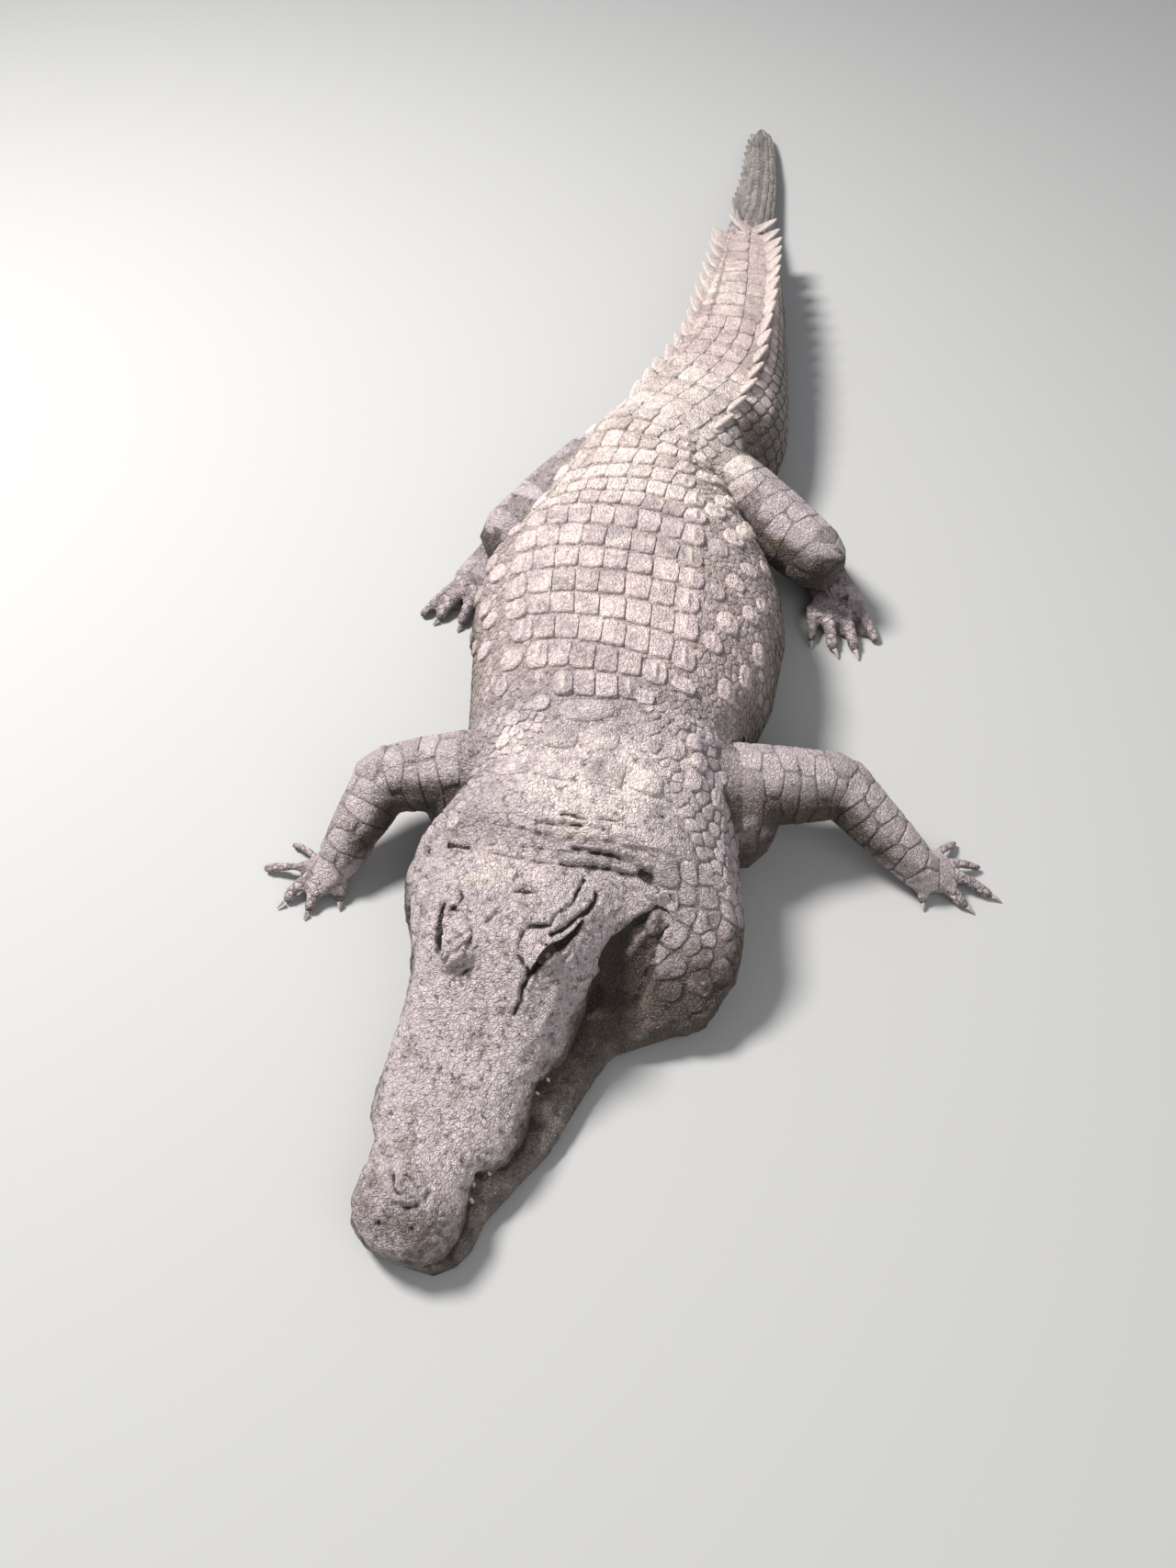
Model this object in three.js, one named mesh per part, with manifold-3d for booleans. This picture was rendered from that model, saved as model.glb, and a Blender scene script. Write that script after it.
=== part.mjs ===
// A resting Nile-type crocodile, life size, as a still model for a display floor.
//
// Millimetres, +Z up. The floor is Z = 0 and the origin lies on it under the middle of the belly.
// The head points toward -Y and the tail toward +Y, and the animal's own left side is +X.
// Every part of the body is a closed solid of its own, and neighbours are kept JOINT_GAP apart.

import * as THREE from 'three';
import { mergeVertices } from 'three/addons/utils/BufferGeometryUtils.js';
import Module from 'manifold-3d';

const wasm = await Module();
wasm.setup();

// ---------------------------------------------------------------- driving dimensions

const JOINT_GAP = 0.3; // clear space between neighbouring solids
const CUT_GAP = 0.5; // how much a piece is grown before it cuts its neighbour

const BODY_SIDES = 18; // corners round a body section
const LIMB_SIDES = 9; // corners round a limb section
const DIGIT_SIDES = 5; // corners round a finger or toe
const CLAW_SIDES = 4; // corners round a claw
const BELLY_SINK = 12; // how far the round of the belly is pressed flat by the floor

// Body sections from the throat to the tail's end. Each row holds the place along the body (y), the
// middle of the section (x), its half width, the height of its back, the height where it is widest,
// the sideways lean of the back, the squareness of the back and the turn about the body's own line.
const BODY_SECTIONS = [
  { y: -730, x: -14, half: 104, top: 44, widest: 24, lean: 0, square: 2.2, roll: 0 },
  { y: -704, x: -12, half: 178, top: 70, widest: 36, lean: 0, square: 2.3, roll: 0 },
  { y: -668, x: -6, half: 222, top: 104, widest: 52, lean: 0, square: 2.6, roll: 0 },
  { y: -630, x: -3, half: 238, top: 130, widest: 68, lean: 0, square: 3, roll: 0 },
  { y: -598, x: -4, half: 242, top: 152, widest: 80, lean: -4, square: 3.1, roll: 0 },
  { y: -570, x: -3, half: 240, top: 205, widest: 88, lean: -8, square: 2.7, roll: 0 },
  { y: -545, x: -2, half: 236, top: 230, widest: 90, lean: -8, square: 2.4, roll: 0 },
  { y: -520, x: 0, half: 229, top: 238, widest: 92, lean: -6, square: 2.3, roll: 0 },
  { y: -450, x: 8, half: 206, top: 247, widest: 95, lean: -4, square: 2.2, roll: 0 },
  { y: -380, x: 3, half: 202, top: 254, widest: 98, lean: 0, square: 2.2, roll: 0 },
  { y: -330, x: -3, half: 207, top: 264, widest: 100, lean: 2, square: 2.2, roll: 0 },
  { y: -246, x: -6, half: 228, top: 273, widest: 100, lean: 0, square: 2.3, roll: 0 },
  { y: -184, x: 3, half: 246, top: 276, widest: 100, lean: -10, square: 2.3, roll: 0 },
  { y: -100, x: 4, half: 259, top: 278, widest: 100, lean: -20, square: 2.3, roll: 0 },
  { y: -18, x: 2, half: 264, top: 276, widest: 100, lean: -26, square: 2.3, roll: 0 },
  { y: 68, x: 5, half: 249, top: 271, widest: 98, lean: -30, square: 2.3, roll: 0 },
  { y: 130, x: 0, half: 222, top: 266, widest: 96, lean: -28, square: 2.3, roll: 0 },
  { y: 200, x: -6, half: 190, top: 258, widest: 94, lean: -22, square: 2.4, roll: 0 },
  { y: 290, x: -10, half: 160, top: 248, widest: 92, lean: -18, square: 2.6, roll: 0 },
  { y: 360, x: 14, half: 152, top: 240, widest: 90, lean: -22, square: 2.6, roll: 0 },
  { y: 440, x: 58, half: 152, top: 232, widest: 84, lean: -38, square: 2.6, roll: 0 },
  { y: 536, x: 90, half: 150, top: 225, widest: 78, lean: -44, square: 2.7, roll: 0 },
  { y: 630, x: 106, half: 132, top: 216, widest: 76, lean: -38, square: 2.8, roll: 0 },
  { y: 738, x: 114, half: 116, top: 208, widest: 74, lean: -33, square: 2.9, roll: 0 },
  { y: 870, x: 113, half: 107, top: 192, widest: 70, lean: -26, square: 3, roll: 0 },
  { y: 1030, x: 109, half: 93, top: 170, widest: 64, lean: -15, square: 3, roll: 0 },
  { y: 1195, x: 102, half: 80, top: 144, widest: 54, lean: -12, square: 2.8, roll: 0 },
  { y: 1290, x: 100, half: 66, top: 124, widest: 48, lean: -6, square: 2.2, roll: 16 },
  { y: 1390, x: 104, half: 50, top: 116, widest: 44, lean: 0, square: 1.9, roll: 42 },
  { y: 1515, x: 106, half: 36, top: 92, widest: 36, lean: 0, square: 1.7, roll: 70 },
  { y: 1710, x: 108, half: 28, top: 80, widest: 29, lean: 0, square: 1.6, roll: 82 },
  { y: 1905, x: 100, half: 20, top: 66, widest: 21, lean: 0, square: 1.7, roll: 86 },
  { y: 1985, x: 92, half: 15, top: 46, widest: 16, lean: 0, square: 1.9, roll: 86 },
  { y: 2028, x: 88, half: 9, top: 22, widest: 10, lean: 0, square: 2, roll: 86 },
];

// The pieces the body is parted into, each from one place along it to the next, with its rings.
const BODY_PIECES = [
  { name: 'neck', from: -730, to: -338, rings: 9 },
  { name: 'trunk_front', from: -338, to: -120, rings: 5 },
  { name: 'trunk_middle', from: -120, to: 110, rings: 5 },
  { name: 'trunk_rear', from: 110, to: 340, rings: 5 },
  { name: 'tail_base', from: 340, to: 560, rings: 5 },
  { name: 'tail_second', from: 560, to: 800, rings: 5 },
  { name: 'tail_third', from: 800, to: 1040, rings: 4 },
  { name: 'tail_fourth', from: 1040, to: 1290, rings: 4 },
  { name: 'tail_fifth', from: 1290, to: 1640, rings: 5 },
  { name: 'tail_end', from: 1640, to: 2028, rings: 6 },
];

// The head runs along a line from the snout's front to the back of the skull. Each row holds the
// distance along that line (s) and the upper jaw's outline there: the lip, the cheek above it, the
// ridge that bounds the top, the crown on the midline, and the midline's own sideways offset.
const SNOUT_FRONT = new THREE.Vector2(-139, -1072);
const HEAD_TURN = THREE.MathUtils.degToRad(-9.4);
const HEAD_SECTIONS = [
  { s: 0, lip: 34, lipZ: 27, cheek: 33, cheekZ: 42, ridge: 18, ridgeZ: 60, crown: 63, offset: -9 },
  { s: 12, lip: 55, lipZ: 25, cheek: 54, cheekZ: 48, ridge: 34, ridgeZ: 75, crown: 80, offset: -9 },
  { s: 36, lip: 68, lipZ: 26, cheek: 67, cheekZ: 56, ridge: 42, ridgeZ: 88, crown: 95, offset: -10 },
  { s: 66, lip: 73, lipZ: 32, cheek: 71, cheekZ: 62, ridge: 44, ridgeZ: 93, crown: 102, offset: -10 },
  { s: 94, lip: 68, lipZ: 44, cheek: 66, cheekZ: 67, ridge: 43, ridgeZ: 90, crown: 97, offset: -12 },
  { s: 120, lip: 63, lipZ: 52, cheek: 64, cheekZ: 70, ridge: 44, ridgeZ: 88, crown: 95, offset: -13 },
  { s: 146, lip: 93, lipZ: 42, cheek: 88, cheekZ: 66, ridge: 56, ridgeZ: 92, crown: 99, offset: -8 },
  { s: 178, lip: 103, lipZ: 39, cheek: 97, cheekZ: 66, ridge: 62, ridgeZ: 98, crown: 106, offset: -8 },
  { s: 212, lip: 104, lipZ: 44, cheek: 99, cheekZ: 70, ridge: 67, ridgeZ: 103, crown: 112, offset: -8 },
  { s: 246, lip: 99, lipZ: 55, cheek: 99, cheekZ: 76, ridge: 72, ridgeZ: 109, crown: 119, offset: -12 },
  { s: 274, lip: 104, lipZ: 56, cheek: 104, cheekZ: 80, ridge: 76, ridgeZ: 117, crown: 129, offset: -8 },
  { s: 300, lip: 115, lipZ: 54, cheek: 112, cheekZ: 84, ridge: 82, ridgeZ: 128, crown: 140, offset: -4 },
  { s: 330, lip: 119, lipZ: 58, cheek: 116, cheekZ: 92, ridge: 76, ridgeZ: 150, crown: 157, offset: -4 },
  { s: 362, lip: 121, lipZ: 68, cheek: 121, cheekZ: 106, ridge: 82, ridgeZ: 178, crown: 180, offset: -6 },
  { s: 400, lip: 132, lipZ: 84, cheek: 134, cheekZ: 122, ridge: 84, ridgeZ: 193, crown: 194, offset: -12 },
  { s: 440, lip: 142, lipZ: 101, cheek: 143, cheekZ: 137, ridge: 86, ridgeZ: 197, crown: 199, offset: -16 },
  { s: 470, lip: 150, lipZ: 112, cheek: 150, cheekZ: 145, ridge: 90, ridgeZ: 197, crown: 202, offset: -14 },
  { s: 498, lip: 164, lipZ: 122, cheek: 158, cheekZ: 148, ridge: 94, ridgeZ: 194, crown: 203, offset: -6 },
  { s: 524, lip: 173, lipZ: 126, cheek: 160, cheekZ: 148, ridge: 92, ridgeZ: 186, crown: 198, offset: 0 },
];
const HEAD_RINGS = 22;
const HEAD_ARCH_STEPS = 12; // steps over the top of the head from lip to lip

// The lower jaw lies JAW_SHIFT toward the left of the upper one and is wider than it on that side.
const JAW_SHIFT = 16;
const JAW_SECTIONS = [
  { s: 6, half: 24, side: 14 },
  { s: 20, half: 44, side: 13 },
  { s: 48, half: 60, side: 14 },
  { s: 84, half: 63, side: 18 },
  { s: 118, half: 78, side: 22 },
  { s: 190, half: 110, side: 20 },
  { s: 260, half: 126, side: 24 },
  { s: 326, half: 143, side: 28 },
  { s: 377, half: 163, side: 34 },
  { s: 410, half: 177, side: 44 },
  { s: 440, half: 182, side: 54 },
  { s: 470, half: 180, side: 62 },
  { s: 500, half: 168, side: 66 },
];
const JAW_REACH = [6, 512]; // where along the head the lower jaw starts and ends

// The head lies a little on its right side, so that the left eye stands higher and farther back.
const EYE_RADIUS = 17;
const EYES = {
  left: { s: 376, left: 60, z: 184 },
  right: { s: 359, left: -70, z: 174 },
};
const BROW_RADII = [32, 46, 33];
const BROWS = {
  left: { s: 391, left: 47, z: 167 },
  right: { s: 371, left: -55, z: 162 },
};
const NOSTRIL_DISC = { s: 68, z: 96, along: 27, across: 24, up: 13 };

// Teeth show only on one side of each jaw: the upper jaw's hang free on the right, and the lower
// jaw's stand free on the left. Each entry is [distance along the head, length of the tooth].
const UPPER_TEETH_RIGHT = [[30, 11], [50, 13], [72, 12], [150, 11], [168, 14], [188, 16], [208, 13], [230, 10]];
const LOWER_TEETH_LEFT = [[96, 12], [115, 19], [134, 12], [246, 9], [268, 10], [290, 9], [312, 8]];
const TOOTH_RADIUS = 4.2;

// Crest fins stand in two rows on the tail until these meet, and in one row from there on.
const FIN_THICKNESS = 10;
const FIN_ROOT = 10; // how deep a fin's foot is sunk in the flesh
const DOUBLE_CREST = { from: 428, to: 1232, pitch: 57, heightFrom: 13, heightTo: 40 };
const SINGLE_CREST = { from: 1276, to: 1986, pitch: 46, heightFrom: 42, heightTo: 15 };

// Limbs. Points are joint centres, radii are half the thickness there. Digits run from a knuckle to
// a tip, and a claw, where there is one, runs on from that tip to its own point.
const LIMBS = [
  {
    side: 'left', pair: 'front', root: [182, -362, 132], rootRadius: 64,
    bend: [352, -318, 112], bendRadius: 50, end: [486, -398, 38], endRadius: 31,
    mass: { at: [206, -384, 84], radii: [66, 72, 86] },
    paw: { from: [486, -398, 34], to: [520, -388, 23], half: [31, 36], high: [29, 19] },
    digits: [
      { knuckle: [494, -408, 22], tip: [497, -431, 10], radius: [11, 9], claw: [499, -447, 3] },
      { knuckle: [514, -400, 23], tip: [556, -430, 10], radius: [13, 9], claw: [573, -440, 3] },
      { knuckle: [530, -386, 22], tip: [594, -406, 9], radius: [12, 8], claw: [614, -413, 3] },
      { knuckle: [524, -370, 22], tip: [580, -360, 8], radius: [10, 6] },
      { knuckle: [506, -366, 22], tip: [546, -320, 7], radius: [9, 6] },
    ],
  },
  {
    side: 'right', pair: 'front', root: [-182, -386, 132], rootRadius: 62,
    bend: [-318, -410, 112], bendRadius: 50, end: [-372, -520, 40], endRadius: 32,
    mass: { at: [-196, -410, 84], radii: [62, 70, 84] },
    paw: { from: [-372, -520, 36], to: [-396, -543, 23], half: [32, 36], high: [29, 19] },
    digits: [
      { knuckle: [-364, -540, 22], tip: [-359, -564, 11], radius: [13, 10], claw: [-358, -582, 3] },
      { knuckle: [-390, -550, 23], tip: [-402, -588, 10], radius: [13, 9], claw: [-405, -606, 3] },
      { knuckle: [-412, -544, 22], tip: [-438, -578, 9], radius: [12, 8], claw: [-450, -594, 3] },
      { knuckle: [-416, -526, 22], tip: [-486, -530, 8], radius: [10, 6] },
      { knuckle: [-404, -512, 22], tip: [-458, -480, 7], radius: [9, 6] },
    ],
  },
  {
    side: 'left', pair: 'hind', root: [112, 334, 138], rootRadius: 70,
    bend: [298, 182, 112], bendRadius: 57, end: [296, 284, 46], endRadius: 36,
    mass: { at: [140, 318, 96], radii: [78, 84, 92] },
    paw: { from: [298, 282, 40], to: [354, 168, 24], half: [32, 50], high: [32, 20] },
    digits: [
      { knuckle: [306, 152, 23], tip: [309, 90, 10], radius: [13, 9], claw: [310, 70, 3] },
      { knuckle: [328, 148, 24], tip: [346, 76, 11], radius: [14, 11], claw: [358, 54, 3] },
      { knuckle: [358, 152, 24], tip: [383, 80, 11], radius: [14, 11], claw: [393, 56, 3] },
      { knuckle: [386, 160, 22], tip: [419, 106, 9], radius: [13, 9] },
    ],
  },
  {
    side: 'right', pair: 'hind', root: [-122, 322, 138], rootRadius: 70,
    bend: [-240, 156, 112], bendRadius: 56, end: [-254, 258, 46], endRadius: 36,
    mass: { at: [-150, 296, 96], radii: [74, 84, 92] },
    paw: { from: [-254, 254, 40], to: [-300, 122, 24], half: [32, 48], high: [32, 20] },
    digits: [
      { knuckle: [-272, 100, 23], tip: [-268, 30, 10], radius: [13, 9], claw: [-267, 10, 3] },
      { knuckle: [-294, 100, 24], tip: [-308, 34, 11], radius: [14, 11], claw: [-314, 14, 3] },
      { knuckle: [-314, 106, 24], tip: [-350, 42, 11], radius: [14, 11], claw: [-360, 24, 3] },
      { knuckle: [-328, 120, 22], tip: [-380, 44, 9], radius: [13, 9] },
    ],
  },
];
const SEGMENT_NAMES = {
  front: { upper: 'upper_arm', lower: 'forearm', paw: 'hand' },
  hind: { upper: 'thigh', lower: 'shank', paw: 'foot' },
};
const WEB_THICKNESS = 5;
const WEB_HEIGHT = 3.4; // clear space under a web
const WEB_OVERLAP = 0.08; // the share of its width by which a web runs past its digits' middles

// ---------------------------------------------------------------- materials

const finish = (color, roughness) => new THREE.MeshStandardMaterial({ color, roughness, metalness: 0 });
const HIDE_HEAD = finish(0xa0928c, 0.75);
const HIDE_JAW = finish(0x6b5f52, 0.7);
const HIDE_BACK = finish(0xb5a28f, 0.8);
const HIDE_TAIL = finish(0xa38f84, 0.8);
const HIDE_LIMB = finish(0x6d6169, 0.45);
const EYE_SHELL = finish(0x2a2418, 0.15);
const CLAW_HORN = finish(0x9c968a, 0.5);

// ---------------------------------------------------------------- solids

/** A closed solid from a three.js geometry whose shared corners are merged. */
function solidOf(geometry) {
  const bare = geometry.clone();
  bare.deleteAttribute('normal');
  bare.deleteAttribute('uv');
  const merged = mergeVertices(bare, 1e-3);
  return new wasm.Manifold(new wasm.Mesh({
    numProp: 3,
    vertProperties: new Float32Array(merged.attributes.position.array),
    triVerts: new Uint32Array(merged.index.array),
  }));
}

/** The faces of a solid as a three.js geometry. */
function geometryOf(solid) {
  const mesh = solid.getMesh();
  const geometry = new THREE.BufferGeometry();
  geometry.setAttribute('position', new THREE.BufferAttribute(mesh.vertProperties, 3));
  geometry.setIndex(new THREE.BufferAttribute(mesh.triVerts, 1));
  geometry.computeVertexNormals();
  return geometry;
}

/** Skins a list of rings, each the same number of points, and closes both ends with a fan. */
function loft(rings) {
  const sides = rings[0].length;
  const points = rings.flat();
  const faces = [];
  for (let ring = 0; ring + 1 < rings.length; ring += 1) {
    for (let side = 0; side < sides; side += 1) {
      const next = (side + 1) % sides;
      const [a, b] = [ring * sides + side, ring * sides + next];
      faces.push(a, b, a + sides, b, b + sides, a + sides);
    }
  }
  for (const [ring, outward] of [[0, false], [rings.length - 1, true]]) {
    const middle = points.length;
    const centre = new THREE.Vector3();
    rings[ring].forEach((point) => centre.addScaledVector(point, 1 / sides));
    points.push(centre);
    for (let side = 0; side < sides; side += 1) {
      const a = ring * sides + side;
      const b = ring * sides + ((side + 1) % sides);
      faces.push(...(outward ? [a, b, middle] : [b, a, middle]));
    }
  }
  const geometry = new THREE.BufferGeometry().setFromPoints(points);
  geometry.setIndex(faces);
  const solid = solidOf(geometry);
  if (solid.volume() >= 0) return solid;
  geometry.index.array.reverse();
  return solidOf(geometry);
}

/** All solids of a list joined into one. */
const joined = (solids) => solids.reduce((whole, solid) => whole.add(solid));


/** An ellipsoid by its middle and radii, turned about Z. */
function ellipsoid(centre, radii, turn = 0, detail = [10, 6]) {
  const geometry = new THREE.SphereGeometry(1, ...detail);
  geometry.rotateX(Math.PI / 2);
  geometry.scale(...radii).rotateZ(turn).translate(...centre);
  return solidOf(geometry);
}

/** All that lies below the floor. */
const FLOOR_CUT = solidOf(new THREE.BoxGeometry(3000, 5000, 400).translate(0, 500, -200));

/** Smooth values between the rows of a table, by the cardinal spline through their neighbours. */
function between(rows, key, at) {
  const last = rows.length - 1;
  let row = rows.findIndex((entry) => entry[key] > at) - 1;
  if (row < -1) row = last - 1;
  row = Math.min(Math.max(row, 0), last - 1);
  const [before, here, next, after] = [row - 1, row, row + 1, row + 2].map(
    (index) => rows[Math.min(Math.max(index, 0), last)]);
  const span = next[key] - here[key];
  const t = (at - here[key]) / span;
  const values = {};
  for (const name of Object.keys(here)) {
    const slopeHere = (span * (next[name] - before[name])) / (next[key] - before[key]);
    const slopeNext = (span * (after[name] - here[name])) / (after[key] - here[key]);
    values[name] = (2 * t ** 3 - 3 * t ** 2 + 1) * here[name] + (t ** 3 - 2 * t ** 2 + t) * slopeHere
      + (3 * t ** 2 - 2 * t ** 3) * next[name] + (t ** 3 - t ** 2) * slopeNext;
  }
  return values;
}

/** Evenly spaced values from first to last, both included. */
const spaced = (first, last, count) => Array.from(
  { length: count }, (_, index) => first + ((last - first) * index) / (count - 1));

/** A power that keeps the sign, as superellipses need. */
const signedPower = (value, power) => Math.sign(value) * Math.abs(value) ** power;

// ---------------------------------------------------------------- body

/** The direction of the body's middle line at a place along it, in plan. */
function bodyDirection(y) {
  const step = 50;
  const ahead = between(BODY_SECTIONS, 'y', y + step);
  const behind = between(BODY_SECTIONS, 'y', y - step);
  return new THREE.Vector3(ahead.x - behind.x, 2 * step, 0).normalize();
}

/** A point of the body's surface: angle 0 is the left side, 90 degrees the midline of the back. */
function bodyPoint(y, angle, grow = 0, shift = 0) {
  const section = between(BODY_SECTIONS, 'y', y);
  const along = bodyDirection(y);
  const sideways = new THREE.Vector3(along.y, -along.x, 0);
  const isBack = Math.sin(angle) > 0;
  const power = 2 / (isBack ? section.square : 2.5);
  const rise = isBack ? section.top - section.widest + grow : section.widest + BELLY_SINK + grow;
  const flat = signedPower(Math.cos(angle), power) * (section.half + grow);
  const high = signedPower(Math.sin(angle), power) * rise;
  const leaned = flat + section.lean * Math.max(0, high / rise);
  const roll = THREE.MathUtils.degToRad(section.roll);
  const across = leaned * Math.cos(roll) - high * Math.sin(roll);
  const up = leaned * Math.sin(roll) + high * Math.cos(roll);
  const point = new THREE.Vector3(section.x, y, section.widest);
  point.addScaledVector(sideways, across).addScaledVector(along, shift);
  point.z = Math.max(point.z + up, 0);
  return point;
}

/** One ring of the body's surface at a place along it, grown outward and shifted along. */
const bodyRing = (y, grow, shift) => Array.from({ length: BODY_SIDES }, (_, side) => bodyPoint(
  y, (2 * Math.PI * (side + 0.5)) / BODY_SIDES, grow, shift));

/** One piece of the body, short of its neighbours by half the gap at each end. */
function bodyPiece({ from, to, rings }) {
  const shifts = [JOINT_GAP / 2, ...Array(rings - 2).fill(0), -JOINT_GAP / 2];
  return loft(spaced(from, to, rings).map((y, index) => bodyRing(y, 0, shifts[index])));
}

/** The whole body through the same rings, grown, to cut what meets it. */
function bodyGrownSolid() {
  const places = BODY_PIECES.flatMap(({ from, to, rings }) => spaced(from, to, rings).slice(0, -1));
  return loft(places.map((y) => bodyRing(y, CUT_GAP, 0)));
}

/** One crest fin: an upright triangle that leans back, standing on the body's surface. */
function crestFin(y, angle, pitch, height) {
  const foot = bodyPoint(y, angle);
  const along = bodyDirection(y);
  const section = between(BODY_SECTIONS, 'y', y);
  const middle = new THREE.Vector3(section.x, y, section.widest);
  const outward = foot.clone().sub(middle).projectOnPlane(along).normalize();
  const upright = new THREE.Vector3(0, 0, 1).projectOnPlane(along).lerp(outward, 0.6).normalize();
  const across = new THREE.Vector3().crossVectors(along, upright);
  const outline = new THREE.Shape();
  outline.moveTo(-pitch * 0.5, -FIN_ROOT);
  outline.lineTo(pitch * 0.46, -FIN_ROOT);
  outline.lineTo(pitch * 0.42, height);
  outline.closePath();
  const geometry = new THREE.ExtrudeGeometry(outline, { depth: FIN_THICKNESS, bevelEnabled: false });
  geometry.translate(0, 0, -FIN_THICKNESS / 2);
  geometry.applyMatrix4(new THREE.Matrix4().makeBasis(along, upright, across).setPosition(foot));
  return solidOf(geometry);
}

/** Every crest fin that stands, wholly or in part, between two places along the tail. */
function crestFins(from, to) {
  const fins = [];
  const rows = [
    { crest: DOUBLE_CREST, spread: [0.54, 0.6] },
    { crest: DOUBLE_CREST, spread: [-0.54, -0.6] },
    { crest: SINGLE_CREST, spread: [0, 0] },
  ];
  for (const { crest, spread } of rows) {
    for (let y = crest.from; y <= crest.to; y += crest.pitch) {
      if (y < from - crest.pitch / 2 || y > to + crest.pitch / 2) continue;
      const share = (y - crest.from) / (crest.to - crest.from);
      const height = crest.heightFrom + (crest.heightTo - crest.heightFrom) * share;
      const lean = spread[0] + (spread[1] - spread[0]) * share;
      fins.push(crestFin(y, Math.PI / 2 - lean, crest.pitch, height));
    }
  }
  return fins;
}

/** What is left of a solid on one side of a cut square to the body; side is +1 for the tail's side. */
function trimmed(solid, y, side) {
  const normal = bodyDirection(y).multiplyScalar(side);
  const { x } = between(BODY_SECTIONS, 'y', y);
  return solid.trimByPlane(normal.toArray(), normal.dot(new THREE.Vector3(x, y, 0)) + JOINT_GAP / 2);
}

// ---------------------------------------------------------------- head

/** A point in the head's own terms: distance from the snout's front, offset to the left, height. */
function headPoint(s, left, z) {
  const along = new THREE.Vector2(0, 1).rotateAround(new THREE.Vector2(), HEAD_TURN);
  return new THREE.Vector3(
    SNOUT_FRONT.x + along.x * s + along.y * left, SNOUT_FRONT.y + along.y * s - along.x * left, z);
}

/** The ring of the upper jaw and skull at one place: the arch from lip to lip, then the palate. */
function upperRing(s, grow) {
  const row = between(HEAD_SECTIONS, 's', s);
  const arch = new THREE.CatmullRomCurve3([
    [row.lip, row.lipZ], [row.cheek, row.cheekZ], [row.ridge, row.ridgeZ], [0, row.crown],
    [-row.ridge, row.ridgeZ], [-row.cheek, row.cheekZ], [-row.lip, row.lipZ],
  ].map(([left, z]) => new THREE.Vector3(left, z, 0)), false, 'centripetal');
  const ring = arch.getSpacedPoints(HEAD_ARCH_STEPS);
  const palate = [-0.5, 0.5].map((share) => new THREE.Vector3(share * row.lip, row.lipZ, 0));
  const middleZ = (row.crown + row.lipZ) / 2;
  return [...ring, ...palate].map(({ x, y }) => {
    const outward = new THREE.Vector2(x, y - middleZ).normalize().multiplyScalar(grow);
    return headPoint(s, x + row.offset + outward.x, y + outward.y);
  });
}

/** The places along the head that have a ring; both jaws share them, so that their lips match. */
const HEAD_PLACES = spaced(0, HEAD_SECTIONS.at(-1).s, HEAD_RINGS);
const JAW_PLACES = [JAW_REACH[0], ...HEAD_PLACES.filter((s) => s > JAW_REACH[0] && s < JAW_REACH[1])];

/** The same places with the first and the last moved apart, as the ends of a grown loft need. */
const stretched = ([first, ...rest], grow) => [first - grow, ...rest.slice(0, -1), rest.at(-1) + grow];

/** The upper jaw and skull without eyes, brows or teeth. */
const upperJawSolid = (grow = 0) => loft(stretched(HEAD_PLACES, grow).map((s) => upperRing(s, grow)));

/**
 * The ring of the lower jaw: a top just under the lips, sloping sides and a throat on the floor.
 * Grown, its top reaches into the grown upper jaw, so that no film is left between the two.
 */
function lowerRing(s, grow) {
  const row = between(JAW_SECTIONS, 's', s);
  const lipZ = between(HEAD_SECTIONS, 's', s).lipZ - 2 * JOINT_GAP + 10 * grow;
  const half = row.half + grow;
  const outline = [
    [0, lipZ], [0.68, lipZ], [0.91, lipZ * 0.75], [1, lipZ * 0.42], [0.97, row.side * 0.3], [0.8, 0],
  ].map(([share, z]) => [share * half, z]);
  const left = outline.map(([x, z]) => headPoint(s, x + JAW_SHIFT, z));
  const right = outline.slice(1).reverse().map(([x, z]) => headPoint(s, JAW_SHIFT - x, z));
  return [...left, headPoint(s, JAW_SHIFT, 0), ...right];
}

/** The lower jaw without teeth. */
const lowerJawSolid = (grow = 0) => loft(stretched(JAW_PLACES, grow).map((s) => lowerRing(s, grow)));

/** The lip's half width, height and offset as the loft's straight run between two rings has them. */
function lipAt(s) {
  const index = HEAD_PLACES.findIndex((place) => place > s) - 1;
  const [here, next] = HEAD_PLACES.slice(index, index + 2);
  const [rowHere, rowNext] = [here, next].map((place) => between(HEAD_SECTIONS, 's', place));
  const mix = (name) => THREE.MathUtils.mapLinear(s, here, next, rowHere[name], rowNext[name]);
  return { lip: mix('lip'), lipZ: mix('lipZ'), offset: mix('offset') };
}

/** One conical tooth with its root sunk in the jaw; direction is +1 for up and -1 for down. */
function tooth(s, left, z, length, direction) {
  const root = 4;
  const geometry = new THREE.ConeGeometry(TOOTH_RADIUS, length + root, 4);
  geometry.translate(0, (length - root) / 2, 0).rotateX((direction * Math.PI) / 2);
  geometry.translate(...headPoint(s, left, z).toArray());
  return solidOf(geometry);
}

/** An eyeball, or the socket that it needs when grown. */
const eyeball = ({ s, left, z }, grow = 0) => ellipsoid(
  headPoint(s, left, z).toArray(), Array(3).fill(EYE_RADIUS + grow), 0, [8, 6]);

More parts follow.
